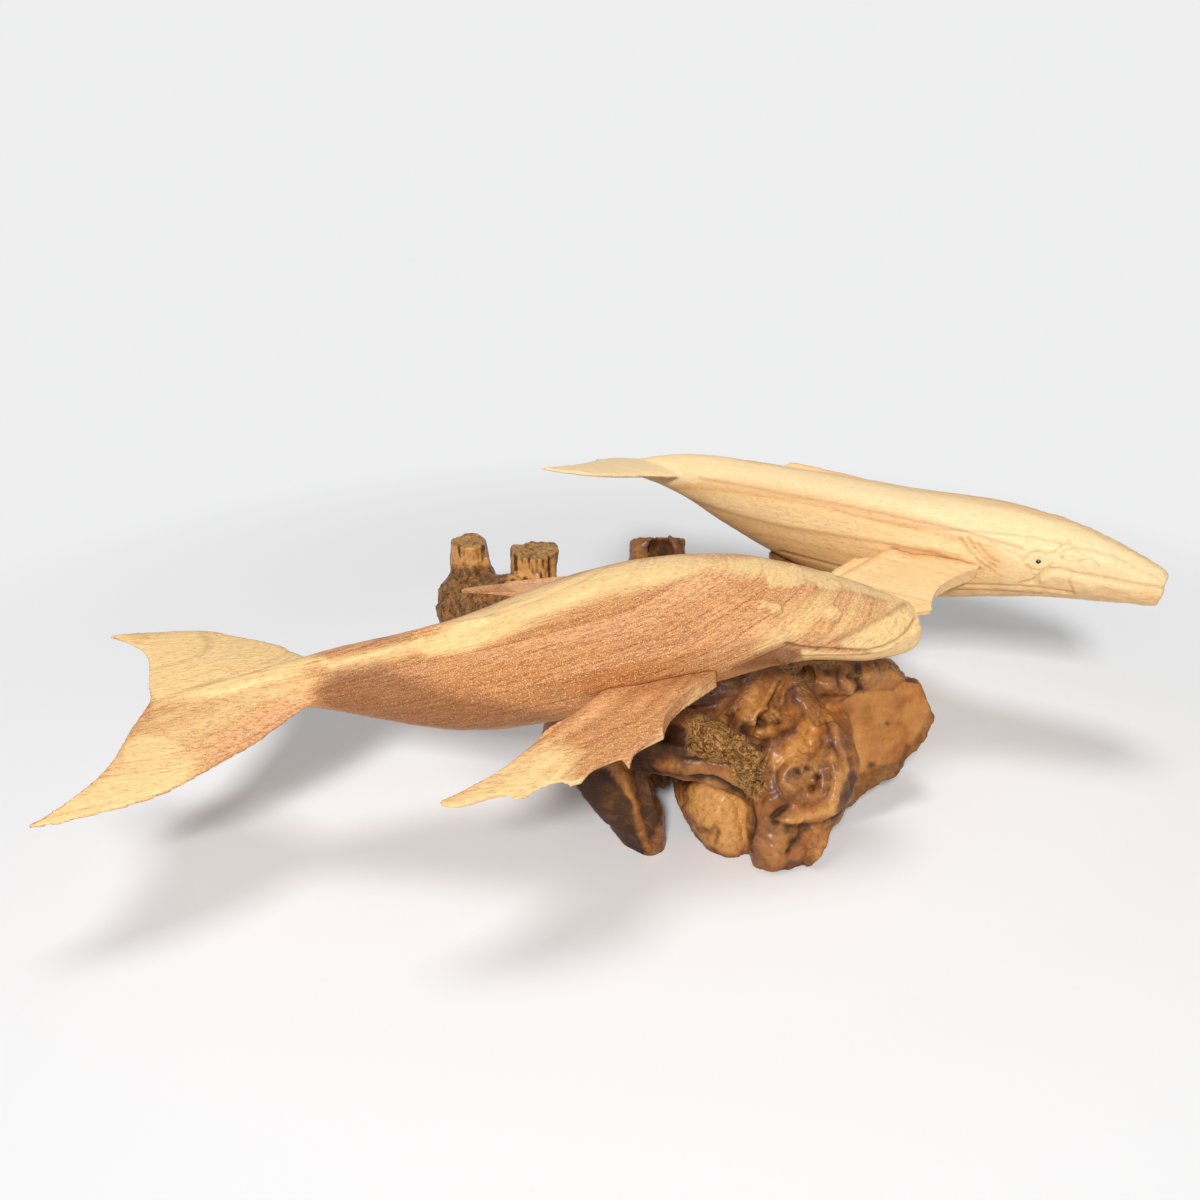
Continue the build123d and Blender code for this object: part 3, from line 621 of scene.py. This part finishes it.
# Mounting pins: two steel rods pressed into the root, hidden inside the whales at rest.
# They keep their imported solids, with the fine drawn lines of bright rod.
rod_dark = (0.42, 0.42, 0.43, 1)
rod_light = (0.62, 0.62, 0.63, 1)


def paint_packed(node, finish):
    """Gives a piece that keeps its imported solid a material."""
    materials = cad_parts[node].data.materials
    materials.clear()
    materials.append(finish)


pin_steel, tree, shader, coordinates = new_material("drawn_rod", 0.34, 0.0)
shader.inputs["Metallic"].default_value = 1.0
streaks = node_noise(tree, node_turn(tree, coordinates, scale=(1, 1, 0.04)), scale=900, detail=3)
colour = node_mix(tree, node_range(tree, streaks, 0.3, 0.7), rod_dark, rod_light)
tree.links.new(colour, shader.inputs["Base Color"])
add_bump(tree, shader, streaks, distance=0.05 * MM, strength=0.5)
for node in ("front_whale_pin", "rear_whale_pin"):
    paint_packed(node, pin_steel)

# Whale wood: one plank for each whale, sawn along the grain, carved, sanded and oiled to
# a satin. Growth layers run from fluke to snout and lean upward towards the head, where
# the curve of the carving cuts them into long slanting lines.
whale_voxel = 1.65 * MM
fin_voxel = 0.8 * MM
whale_length = 500 * MM
front_snout = Vector((162.23, -118.34, 173.78)) * MM
front_turn = (3.0, 7.2, 14.0)
rear_snout = Vector((385.00, -25.64, 139.70)) * MM
rear_turn = (-22.3, -6.5, -15.0)

plank, enter, leave = tone_group(
    "plank_grain",
    [
        ("Vector", "NodeSocketVector", None),
        ("Rise", "NodeSocketFloat", 0.05),
        ("Lift", "NodeSocketFloat", 1.5),
        ("Layers", "NodeSocketFloat", 330.0),
    ],
    ["Lines", "Bands", "Fibres", "Flecks"],
)
source = enter.outputs["Vector"]
split = plank.nodes.new("ShaderNodeSeparateXYZ")
plank.links.new(source, split.inputs[0])
ahead = node_plus(plank, split.outputs["X"], 0.5)
ahead_square = node_times(plank, ahead, ahead)
slope = node_math(plank, "MULTIPLY_ADD", ahead_square, enter.outputs["Lift"], enter.outputs["Rise"])
lean = node_times(plank, ahead, slope)
sway = node_noise(plank, node_turn(plank, source, scale=(0.40, 1, 1)), scale=12, detail=1, rough=0.45)
sway = node_times(plank, node_math(plank, "SUBTRACT", sway, 0.5), 0.030)
cup = node_times(plank, split.outputs["Y"], 0.35)
layer = node_math(plank, "SUBTRACT", split.outputs["Z"], lean)
layer = node_plus(plank, layer, node_plus(plank, sway, cup))
line_place = node_times(plank, layer, enter.outputs["Layers"])
lines = node_noise(plank, line_place, scale=1.0, detail=5, rough=0.72, flat=True)
plank.links.new(node_range(plank, lines, 0.46, 0.70), leave.inputs["Lines"])
band_place = node_times(plank, layer, node_times(plank, enter.outputs["Layers"], 0.14))
bands = node_noise(plank, band_place, scale=1.0, detail=3, rough=0.5, flat=True)
plank.links.new(node_range(plank, bands, 0.34, 0.66), leave.inputs["Bands"])
grain_flow = plank.nodes.new("ShaderNodeCombineXYZ")
plank.links.new(node_times(plank, split.outputs["X"], 0.055), grain_flow.inputs[0])
plank.links.new(split.outputs["Y"], grain_flow.inputs[1])
plank.links.new(layer, grain_flow.inputs[2])
fibres = node_noise(plank, grain_flow.outputs[0], scale=700, detail=4, rough=0.65)
plank.links.new(node_range(plank, fibres, 0.32, 0.68), leave.inputs["Fibres"])
short_flow = node_turn(plank, grain_flow.outputs[0], scale=(4.0, 1, 1))
flecks = node_noise(plank, short_flow, scale=950, detail=2, rough=0.5)
plank.links.new(node_range(plank, flecks, 0.56, 0.70), leave.inputs["Flecks"])


def whale_turn(turn):
    """Turn from a whale's own axes to the part's: roll, then pitch, then yaw."""
    yaw, pitch, roll = [math.radians(value) for value in turn]
    spin = Matrix.Rotation(yaw, 3, "Z") @ Matrix.Rotation(-pitch, 3, "Y")
    return spin @ Matrix.Rotation(roll, 3, "X")


def whale_shares(points, snout, turn):
    """Points in a whale's own axes, in shares of its length: ahead, left and up."""
    return (points - np.array(snout)) @ np.array(whale_turn(turn)) / whale_length


def near_side_line(own, rises, spread=0.03):
    """How near points are to the widest line of a whale, where the blank has a faint edge."""
    steps = np.linspace(0, 0.8, len(rises))
    gap = np.abs(own[:, 2] - np.interp(-own[:, 0], steps, rises))
    along = (own[:, 0] > -0.84) & (own[:, 0] < -0.012) & (np.abs(own[:, 1]) > 0.02)
    return ramp(gap, spread, spread * 0.6) * along


def whale_body(node, name, snout, turn, side_rises, fine_from):
    """Whale without that faint edge, under a skin that is finer where its head shows."""
    piece = even_skin(node, name, whale_voxel)
    sand(piece, 6)
    own = whale_shares(skin_points(piece), snout, turn)
    sand(piece, 20, near_side_line(own, side_rises), refill=0.0)
    refine(piece, (own[:, 0] > fine_from) & (own[:, 1] < 0.025))
    sand(piece, 3)
    return piece


class Sides:
    """Marks drawn on the photograph, laid on the side that shows and, mirrored, on the other."""

    def __init__(self, points, normals, snout, turn):
        spin = np.array(whale_turn(turn))
        flip = spin @ np.diag((1, -1, 1)) @ spin.T
        mirrored = (points - np.array(snout)) @ flip.T + np.array(snout)
        self.shown = photo_pixels(points)
        self.hidden = photo_pixels(mirrored)
        self.facing = facing_camera(points, normals)
        self.facing_hidden = facing_camera(mirrored, normals @ flip.T)

    def lay(self, mark, both=True):
        """Value of a mark on the side that shows, or on both sides."""
        shown = self.facing * mark(self.shown)
        return shown + both * (1 - self.facing) * self.facing_hidden * mark(self.hidden)

    def line(self, path, width, both=True):
        """Soft line through pixels, or a soft round mark at a lone pixel."""
        return self.lay(lambda pixels: bell(path_distance(pixels, path), width), both)

    def area(self, outline, soft):
        """Soft-edged area inside an outline of pixels."""
        return self.lay(lambda pixels: patch(pixels, outline, soft))

    def areas(self, rows):
        """Sum of areas, from rows of outline, soft edge and share."""
        return sum(self.area(outline, soft) * share for outline, soft, share in rows)

    def cuts(self, rows):
        """Height and darkening of many marks, from rows of path, width, rise and share of grime and
        painted shade.
        """
        height, grime_and_shade = np.zeros((2, len(self.shown)))
        for path, width, rise, share in rows:
            mark = self.line(path, width)
            height += mark * rise
            grime_and_shade += mark * share
        return height, grime_and_shade


def plank_material(name, snout, turn, tones, rise, lift, layers, line_share, fibre_share):
    """Oiled plank of light, middle and dark layers, with fibres and pale sapwood."""
    light, middle, dark, sap = tones
    # Dark tone of grime and painted shade
    grime_and_shade = (dark[0] * 0.45, dark[1] * 0.40, dark[2] * 0.35, 1)
    material, tree, shader, coordinates = new_material(name, 0.46, 0.04, 0.35)
    shader.inputs["Specular IOR Level"].default_value = 0.30
    angles = whale_turn(turn).to_euler()
    own = node_turn(tree, coordinates, place=tuple(snout), turn=tuple(angles), kind="TEXTURE")
    grain = tree.nodes.new("ShaderNodeGroup")
    grain.node_tree = plank
    fill(grain, {"Rise": rise, "Lift": lift, "Layers": layers})
    tree.links.new(own, grain.inputs["Vector"])
    lines, bands, fibres, flecks = grain.outputs
    sap_edge = node_plus(tree, stain_socket(tree, "sap"), node_range(tree, bands, 0, 1, -0.30, 0.30))
    sap_share = node_range(tree, sap_edge, 0.15, 0.85)
    colour = node_mix(tree, bands, light, middle)
    colour = node_mix(tree, node_times(tree, stain_socket(tree, "heart"), 0.75), colour, middle)
    colour = node_mix(tree, sap_share, colour, sap)
    line_depth = node_times(tree, lines, node_range(tree, sap_share, 0, 1, line_share, line_share * 0.38))
    broken_lines = node_times(tree, line_depth, node_range(tree, fibres, 0, 1, 0.45, 1.1))
    colour = node_mix(tree, broken_lines, colour, dark)
    fibre_depth = node_range(tree, sap_share, 0, 1, fibre_share, fibre_share * 0.5)
    colour = node_mix(tree, node_times(tree, fibres, fibre_depth), colour, dark)
    colour = node_mix(tree, node_times(tree, flecks, fibre_depth), colour, dark)
    glints = node_noise(tree, own, scale=1300, detail=2, rough=0.5)
    colour = node_mix(tree, node_range(tree, glints, 0.52, 0.75, 0, fibre_share * 1.4), colour, sap)
    colour = node_mix(tree, node_times(tree, stain_socket(tree, "vein"), 0.7), colour, dark)
    colour = node_mix(tree, node_times(tree, stain_socket(tree, "grime_and_shade"), 0.7), colour, grime_and_shade)
    tree.links.new(colour, shader.inputs["Base Color"])
    tree.links.new(node_range(tree, fibres, 0.0, 1.0, 0.40, 0.56), shader.inputs["Roughness"])
    sunk = node_plus(tree, flecks, node_times(tree, fibres, 0.8))
    add_bump(tree, shader, node_times(tree, sunk, -1.0), distance=0.22 * MM, strength=0.9)
    return material


def finish_wood(piece, finish, body, node, sap, heart=0, vein=0, grime_and_shade=0):
    """Stores the tones of a wooden piece and puts it in its place."""
    for name, amount in (("sap", sap), ("heart", heart), ("vein", vein), ("grime_and_shade", grime_and_shade)):
        stain(piece, name, amount)
    smooth_faces(piece)
    piece.data.materials.append(finish)
    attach(piece, body)
    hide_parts(node)


# Front whale: heartwood of a red-brown plank with yellow sapwood along its back, snout and
# fluke. Snout, brow, lip and fin are cut with a gouge, then sanded.
front_tones = [
    (0.97, 0.515, 0.235, 1),
    (0.56, 0.205, 0.053, 1),
    (0.24, 0.062, 0.012, 1),
    (1.0, 0.69, 0.310, 1),
]
front_side_rises = (-0.023, 0.029, 0.020, -0.014, 0.015)
front = whale_body(
    "front_whale_body", "front_whale_carving", front_snout, front_turn, front_side_rises,
    fine_from=-0.27,
)
points = skin_points(front)
own = whale_shares(points, front_snout, front_turn)

# The jaw is hollowed from below, along a line given in shares of the whale's length
jaw_ahead = (-0.172, -0.121, -0.065, -0.037)
jaw_up = (0.010, -0.006, -0.020, -0.016)
jaw_lift = 2.8 * MM
under_jaw = ramp(np.interp(own[:, 0], jaw_ahead, jaw_up) - own[:, 2], 0, 0.012)
under_jaw *= ramp(own[:, 0], -0.24, -0.15) * ramp(-own[:, 0], 0.02, 0.06)
points[:, 2] += under_jaw * jaw_lift
set_skin(front, points)
normals = skin_normals(front)
marks = Sides(points, normals, front_snout, front_turn)

# Lip over a strip of lower jaw, corner of the mouth, brow, lid that is all but shut, ridge
# from the blowhole down the snout, worn hollow beside it and four pits at its end. Each
# row gives path and width in pixels, rise in millimetres and share of dark grime and
# painted shade; the dark at the corner of the mouth is painted shade.
lip = [(786, 643), (796, 646), (812, 648), (840, 650), (868, 651), (884, 647), (898, 640)]
lip += [(909, 630), (916, 617)]
front_cuts = [
    (lip, 1.7, -1.5, 0),
    (lip, 1.3, 0, 0.60),
    ([(800, 644), (840, 646), (868, 646), (886, 642)], 3.2, 0.7, 0),
    ([(784, 643), (800, 647), (820, 649)], 1.6, 0, 0.4),
    ([(781, 637)], 8.0, 1.8, 0),
    ([(785, 660)], 8.0, 4.4, 0),
    ([(766, 588), (800, 586), (832, 590), (862, 597), (892, 607), (908, 614)], 4.5, 1.1, 0),
    ([(780, 600), (815, 600), (850, 607), (880, 616)], 6.0, -0.8, 0),
    ([(898, 622)], 2.6, -0.9, 0.25),
    ([(907, 628)], 2.0, -0.9, 0.25),
    ([(890, 614)], 2.2, -0.9, 0.25),
    ([(902, 612)], 1.8, -0.9, 0.25),
]
cheek_outline = [(735, 670), (762, 655), (784, 645), (800, 650), (800, 660), (770, 672)]
throat_outline = [(690, 684), (735, 668), (780, 654), (780, 668), (735, 680), (700, 690)]
height, grime_and_shade = marks.cuts(front_cuts)
# The cheek under the brow is sunk and darkened with painted shade, and the throat is darkened with
# painted shade too
cheek = marks.area(cheek_outline, 5)
height -= cheek * 1.8
grime_and_shade += cheek * 0.95 + marks.area(throat_outline, 5) * 0.35

# Knobs: three large ones on the side of the snout, with pixel, width and rise, and small
# ones along its ridge, with their place in shares of the length and size in millimetres
side_knobs = [((764, 604), 7.0, 1.4), ((775, 609), 8.0, 2.6), ((833, 614), 10.0, 2.5)]
ridge_knobs = [
    ((-0.106, 0.036, 0.046), 3.0),
    ((-0.108, 0.004, 0.055), 3.4),
    ((-0.150, -0.018, 0.070), 3.6),
    ((-0.066, -0.012, 0.036), 3.0),
    ((-0.055, 0.020, 0.030), 2.8),
    ((-0.160, 0.030, 0.066), 3.2),
    ((-0.028, 0.000, 0.020), 2.6),
    ((-0.208, 0.076, 0.030), 5.0),
    ((-0.130, 0.064, 0.014), 4.6),
]
knob_waver = 1.2 * cloud(points, 6 * MM, 2, seed=71)
knob_highlight = np.zeros(len(points))
# The large knobs are lightened with painted highlight and get painted shadow below them
for (across, down), width, tall in side_knobs:
    reach = width * 1.1 - path_distance(marks.shown, [(across, down)]) + knob_waver
    knob = marks.facing * ramp(reach, 0, width * 0.7)
    height += (3 - 2 * knob) * knob ** 2 * tall
    grime_and_shade += marks.line([(across, down + width * 0.9)], width * 0.45, both=False) * 0.36
    knob_highlight = np.maximum(knob_highlight, knob)
for place, size in ridge_knobs:
    gap = path_distance(own, [place]) * whale_length / MM
    height += bell(gap, size * 1.5) * size * 0.55
    grime_and_shade += bell(gap - size * 1.6, 1.1) * 0.22

# Hand-cut unevenness of the whole skin
height += cloud(points, 22 * MM, 2, seed=4) * 0.35 + cloud(points, 7 * MM, 2, seed=6) * 0.12
points += normals * (height * MM)[:, None]
set_skin(front, points)

# Tones, from rows of outline, soft edge and share. Sapwood: back, tip and middle of the
# near lobe, ridge and end of the snout, jaw, side of the head, top of the tail stock.
# Heartwood: belly, flank and the line of the chin.
front_sap_areas = [
    ([(424, 640), (470, 612), (540, 582), (600, 562), (700, 552), (766, 556), (800, 570),
      (770, 577), (700, 574), (640, 585), (580, 602), (520, 626), (470, 648), (430, 654)], 9, 1),
    ([(20, 832), (60, 798), (112, 762), (140, 742), (196, 758), (180, 785), (120, 814),
      (60, 830)], 12, 0.8),
    ([(28, 828), (110, 775), (150, 705), (230, 676), (322, 668), (318, 700), (265, 745),
      (185, 790), (110, 820)], 16, 0.42),
    ([(768, 570), (800, 568), (850, 576), (905, 596), (920, 610), (905, 604), (850, 590),
      (800, 586), (768, 588)], 3, 1),
    ([(836, 643), (903, 603), (935, 600), (935, 640), (893, 652), (860, 651)], 2.5, 1),
    ([(802, 651), (868, 654), (905, 640), (905, 652), (885, 662), (802, 662)], 2, 1),
    ([(745, 625), (790, 592), (850, 586), (912, 606), (900, 642), (800, 645), (760, 655)], 12, 0.45),
    ([(322, 660), (420, 638), (424, 650), (330, 672)], 5, 0.7),
]
front_heart_areas = [
    ([(310, 668), (420, 652), (560, 690), (640, 650), (660, 700), (560, 740), (440, 735),
      (320, 706)], 14, 1.2),
    ([(420, 660), (560, 625), (640, 596), (700, 600), (712, 680), (560, 735), (440, 735),
      (330, 704)], 16, 0.75),
    ([(640, 700), (740, 655), (790, 655), (780, 672), (700, 690), (650, 715)], 8, 0.8),
]
far_lobe_outline = [(100, 628), (200, 630), (270, 640), (322, 660), (280, 676), (210, 692)]
far_lobe_outline += [(156, 702), (148, 690), (136, 660)]
# Painted shade low on the flank and tail stock, with redder heartwood there too
low_flank_shade_outline = [(316, 690), (330, 672), (380, 664), (440, 690), (560, 714), (640, 705)]
low_flank_shade_outline += [(640, 740), (480, 745), (330, 712)]
red_line = [(836, 642), (858, 630), (884, 616), (905, 604)]
low_flank_shade = marks.area(low_flank_shade_outline, 8)
sap = marks.areas(front_sap_areas) + knob_highlight * 0.35 + ramp(own[:, 0], -0.05, -0.02)
sap += facing_camera(points, normals) * patch(marks.shown, far_lobe_outline, 8)
wood = plank_material(
    "red_plank", front_snout, front_turn, front_tones,
    rise=0.05, lift=0.75, layers=420.0, line_share=0.85, fibre_share=0.60,
)
finish_wood(
    front, wood, "front_whale", "front_whale_body", sap,
    heart=marks.areas(front_heart_areas) + low_flank_shade * 0.6,
    vein=marks.line(red_line, 3.0) * 0.7,
    grime_and_shade=grime_and_shade + low_flank_shade * 0.72,
)

# Flippers of the front whale: sawn from the same plank, knobbed along the leading edge,
# let into the flank and doweled.
fin_unevenness = 0.3
fin_tip_outline = [(430, 806), (500, 762), (548, 740), (575, 752), (560, 780), (517, 806)]
fin_edge = [(440, 806), (517, 799), (573, 784), (627, 766), (665, 734), (700, 690)]


def fin_skin(whale, side, seed):
    """Flipper under an even skin, with its points and their unevenness in millimetres."""
    fin = even_skin(f"{whale}_{side}_flipper", f"{whale}_{side}_fin", fin_voxel)
    sand(fin, 4)
    points = skin_points(fin)
    return fin, points, cloud(points, 14 * MM, 2, seed) * fin_unevenness


for side in ("right", "left"):
    fin, points, uneven = fin_skin("front_whale", side, seed=12)
    normals = skin_normals(fin)
    marks = Sides(points, normals, front_snout, front_turn)
    points += normals * (uneven * MM)[:, None]
    set_skin(fin, points)
    sap = marks.area(fin_tip_outline, 14) * 0.9 + marks.line(fin_edge, 4.0) * 0.7
    finish_wood(fin, wood, "front_whale", f"front_whale_{side}_flipper", sap)

# Rear whale: cream sapwood with a few thin brown lines, and the finer face of the pair:
# long mouth, folds behind the eye, pleats under the throat.
rear_tones = [
    (0.92, 0.63, 0.300, 1),
    (0.80, 0.44, 0.165, 1),
    (0.42, 0.160, 0.045, 1),
    (0.96, 0.72, 0.39, 1),
]
rear_side_rises = (0.006, 0.018, -0.014, -0.013, 0.010)
rear = whale_body(
    "rear_whale_body", "rear_whale_carving", rear_snout, rear_turn, rear_side_rises,
    fine_from=-0.34,
)
points = skin_points(rear)
normals = skin_normals(rear)
own = whale_shares(points, rear_snout, rear_turn)
marks = Sides(points, normals, rear_snout, rear_turn)

# Seam over the flipper, mouth with its lower lip, swellings of the face, eye and a pit
# beside it, in rows like those of the front whale, then folds and pleats with their depth
mouth = [(1020, 584), (1033, 581), (1041, 574), (1050, 569), (1060, 569), (1078, 574)]
mouth += [(1104, 578), (1132, 584), (1166, 588)]
rear_cuts = [
    ([(884, 552), (900, 547), (930, 546), (960, 554), (984, 563)], 6.0, 2.4, 0),
    (mouth, 1.9, -1.9, 0),
    (mouth, 1.2, 0, 0.5),
    ([(1042, 580), (1054, 575), (1075, 580), (1100, 584), (1130, 590)], 3.6, 1.0, 0),
    ([(1089, 588)], 4.6, 2.0, 0),
    ([(1039, 561)], 7.5, 0.8, 0),
    ([(1106, 557)], 5.0, 0.7, 0),
    ([(1128, 566)], 5.0, 0.7, 0),
    ([(1096, 546)], 5.0, 0.6, 0),
    ([(1146, 574)], 4.0, 0.6, 0),
    ([(1122, 552)], 4.0, 0.5, 0),
    ([(1039, 561)], 5.5, 0, 0.30),
    ([(1062, 558)], 1.6, -1.2, 0),
    ([(1062, 558)], 1.5, 0, 0.9),
]
folds = [
    ([(960, 538), (967, 548), (975, 557), (984, 565), (993, 571)], 1.5),
    ([(968, 538), (974, 547), (981, 555), (989, 562), (996, 567)], 1.4),
    ([(978, 544), (984, 552), (990, 558), (998, 563)], 1.2),
    ([(1071, 575), (1068, 582), (1072, 590)], 1.0),
    ([(1025, 560), (1029, 554), (1038, 551), (1047, 554), (1055, 552), (1062, 545), (1070, 542)], 1.2),
    ([(1026, 566), (1032, 570), (1040, 571), (1047, 568), (1052, 564)], 1.2),
    ([(1062, 552), (1073, 549), (1084, 556)], 0.8),
    ([(1078, 561), (1090, 558), (1098, 566)], 0.7),
    ([(957, 585), (995, 586), (1034, 588), (1073, 593)], 1.4),
    ([(900, 583), (940, 590), (1000, 592), (1040, 594)], 1.2),
    ([(780, 552), (830, 565), (880, 577)], 1.2),
]
for path, depth in folds:
    rear_cuts += [(path, 1.5, -depth, 0), (path, 1.1, 0, 0.38)]
height, grime_and_shade = marks.cuts(rear_cuts)

# Full and uneven crown, chipped end of the snout, hand-cut unevenness of the whole skin
crown = ramp(own[:, 2], 0.012, 0.030) * ramp(own[:, 0], -0.21, -0.10) * ramp(-own[:, 0], 0.0, 0.03)
head = ramp(own[:, 0], -0.28, -0.2)
chips = ramp(marks.shown[:, 0], 1140, 1162) * marks.facing
height += crown * 4.2 + head * cloud(points, 9 * MM, 2, seed=73) * 0.7
height += chips * cloud(points, 5 * MM, 3, seed=19) * 1.1
height += cloud(points, 24 * MM, 2, seed=14) * 0.35 + cloud(points, 7 * MM, 2, seed=16) * 0.12
points += normals * (height * MM)[:, None]
set_skin(rear, points)

# Tones: two brown lines along the flank and a faint one on the head, darker wood below
# them and mottled on the face, sapwood above and on the tail
upper_line = [(700, 478), (740, 485), (780, 493), (827, 502), (880, 513), (960, 530), (1022, 548)]
lower_line = [(690, 500), (740, 516), (790, 528), (840, 536), (890, 544), (935, 552), (980, 568)]
head_line = [(990, 541), (1020, 556), (1034, 574)]
low_outline = lower_line + [(980, 600), (900, 600), (800, 570), (690, 505)]
face_outline = [(985, 545), (1060, 540), (1110, 560), (1168, 580), (1168, 602), (1000, 598)]
tail_outline = [(530, 440), (680, 440), (740, 465), (660, 486), (530, 484)]
upper_outline = [(700, 452), (800, 462), (960, 492), (1080, 520), (1170, 566), (1170, 600)]
upper_outline += [(1000, 596), (990, 545), (900, 510), (780, 486), (700, 476)]
vein = marks.line(upper_line, 1.8) * 0.6 + marks.line(lower_line, 1.8) * 0.85
vein += marks.line(head_line, 1.6) * 0.25
heart = marks.area(low_outline, 8) * 0.75
heart += marks.area(face_outline, 14) * (0.95 + 0.6 * cloud(points, 14 * MM, 2, seed=75))
sap = marks.area(upper_outline, 14) * 0.85 + patch(marks.shown, tail_outline, 8)
wood = plank_material(
    "cream_plank", rear_snout, rear_turn, rear_tones,
    rise=-0.06, lift=0.25, layers=170.0, line_share=0.40, fibre_share=0.22,
)
finish_wood(
    rear, wood, "rear_whale", "rear_whale_body", sap,
    heart=heart, vein=vein, grime_and_shade=grime_and_shade * 0.75,
)

# Flippers of the rear whale, from its own plank. They are thinner away from the root, and
# their wood is plain.
fin_thinning = 1.2
for side, outward in (("right", 1), ("left", -1)):
    fin, points, uneven = fin_skin("rear_whale", side, seed=22)
    own = whale_shares(points, rear_snout, rear_turn)
    near_root = ramp(own[:, 1] * outward, -0.17, -0.10)
    height = uneven - fin_thinning * (1 - near_root)
    set_skin(fin, points + skin_normals(fin) * (height * MM)[:, None])
    finish_wood(fin, wood, "rear_whale", f"rear_whale_{side}_flipper", sap=0.35)

# Eyes: small glass-like beads let into the heads, brown in front and black behind. Dowels
# hold the flippers and show nowhere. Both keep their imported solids.
bead_tones = {
    "front_whale": ((0.10, 0.035, 0.012, 1), (0.16, 0.060, 0.022, 1)),
    "rear_whale": ((0.006, 0.005, 0.005, 1), (0.03, 0.022, 0.018, 1)),
}
dowel_light = (0.60, 0.40, 0.20, 1)
dowel_dark = (0.42, 0.25, 0.11, 1)
dowel_wood, tree, shader, coordinates = new_material("dowel_wood", 0.6, 0.0)
streaks = node_noise(tree, node_turn(tree, coordinates, scale=(1, 0.1, 0.1)), scale=700, detail=3)
tree.links.new(node_mix(tree, streaks, dowel_light, dowel_dark), shader.inputs["Base Color"])
for whale, (low, high) in bead_tones.items():
    bead, tree, shader, coordinates = new_material(f"{whale}_bead", 0.25, 0.3, 0.10)
    haze = node_noise(tree, coordinates, scale=900, detail=2)
    tree.links.new(node_mix(tree, haze, low, high), shader.inputs["Base Color"])
    for side in ("right", "left"):
        for kind, finish in (("eye", bead), ("dowel", dowel_wood)):
            paint_packed(f"{whale}_{side}_{kind}", finish)

# Stage: pale floor that fades into the same pale background, a broad lamp overhead and a
# stronger one high in front. Camera, mirrored and refracted rays see the backdrop.
floor_reach = 6
floor_tone = (0.92, 0.92, 0.925, 1)
backdrop_tone = (0.86, 0.86, 0.865, 1)
fade_start = 0.42
fade_end = 0.85
room_light = 0.12
lamp_target = Vector((0, 0, 0.1))
floor_work = bmesh.new()
bmesh.ops.create_grid(floor_work, x_segments=1, y_segments=1, size=floor_reach)
floor_mesh = bpy.data.meshes.new("floor")
floor_work.to_mesh(floor_mesh)
floor_work.free()
floor = bpy.data.objects.new("floor", floor_mesh)
scene.collection.objects.link(floor)
floor_paint, tree, shader, coordinates = new_material("floor", 0.9, 0.0)
fill(shader, {"Base Color": floor_tone, "Specular IOR Level": 0.1})
glow = tree.nodes.new("ShaderNodeEmission")
glow.inputs["Color"].default_value = backdrop_tone
away = tree.nodes.new("ShaderNodeVectorMath")
away.operation = "LENGTH"
tree.links.new(coordinates, away.inputs[0])
fade = node_range(tree, away.outputs["Value"], fade_start, fade_end)
node_blend(tree, fade, shader, glow, tree.nodes["Material Output"])
floor.data.materials.append(floor_paint)
world = bpy.data.worlds.new("studio")
scene.world = world
world.use_nodes = True
tree = world.node_tree
room = tree.nodes["Background"]
fill(room, {"Color": (1, 1, 1, 1), "Strength": room_light})
backdrop = tree.nodes.new("ShaderNodeBackground")
fill(backdrop, {"Color": backdrop_tone, "Strength": 1.0})
seen_by = tree.nodes.new("ShaderNodeLightPath")
glossy = seen_by.outputs["Is Glossy Ray"]
mirrored = node_math(tree, "MAXIMUM", glossy, seen_by.outputs["Is Transmission Ray"])
shown = node_math(tree, "MAXIMUM", seen_by.outputs["Is Camera Ray"], mirrored)
node_blend(tree, shown, room, backdrop, tree.nodes["World Output"])

# Lamps: name, place and side in metres, power in watts
lamps = [
    ("overhead", (0.1, 0.1, 3.2), 1.0, 31.0),
    ("key", (-0.55, -3.15, 2.35), 0.62, 134.0),
]
for name, place, side, power in lamps:
    lamp = bpy.data.lights.new(name, "AREA")
    lamp.size = side
    lamp.energy = power
    holder = bpy.data.objects.new(name, lamp)
    scene.collection.objects.link(holder)
    holder.location = place
    holder.rotation_euler = (lamp_target - Vector(place)).to_track_quat("-Z", "Y").to_euler()
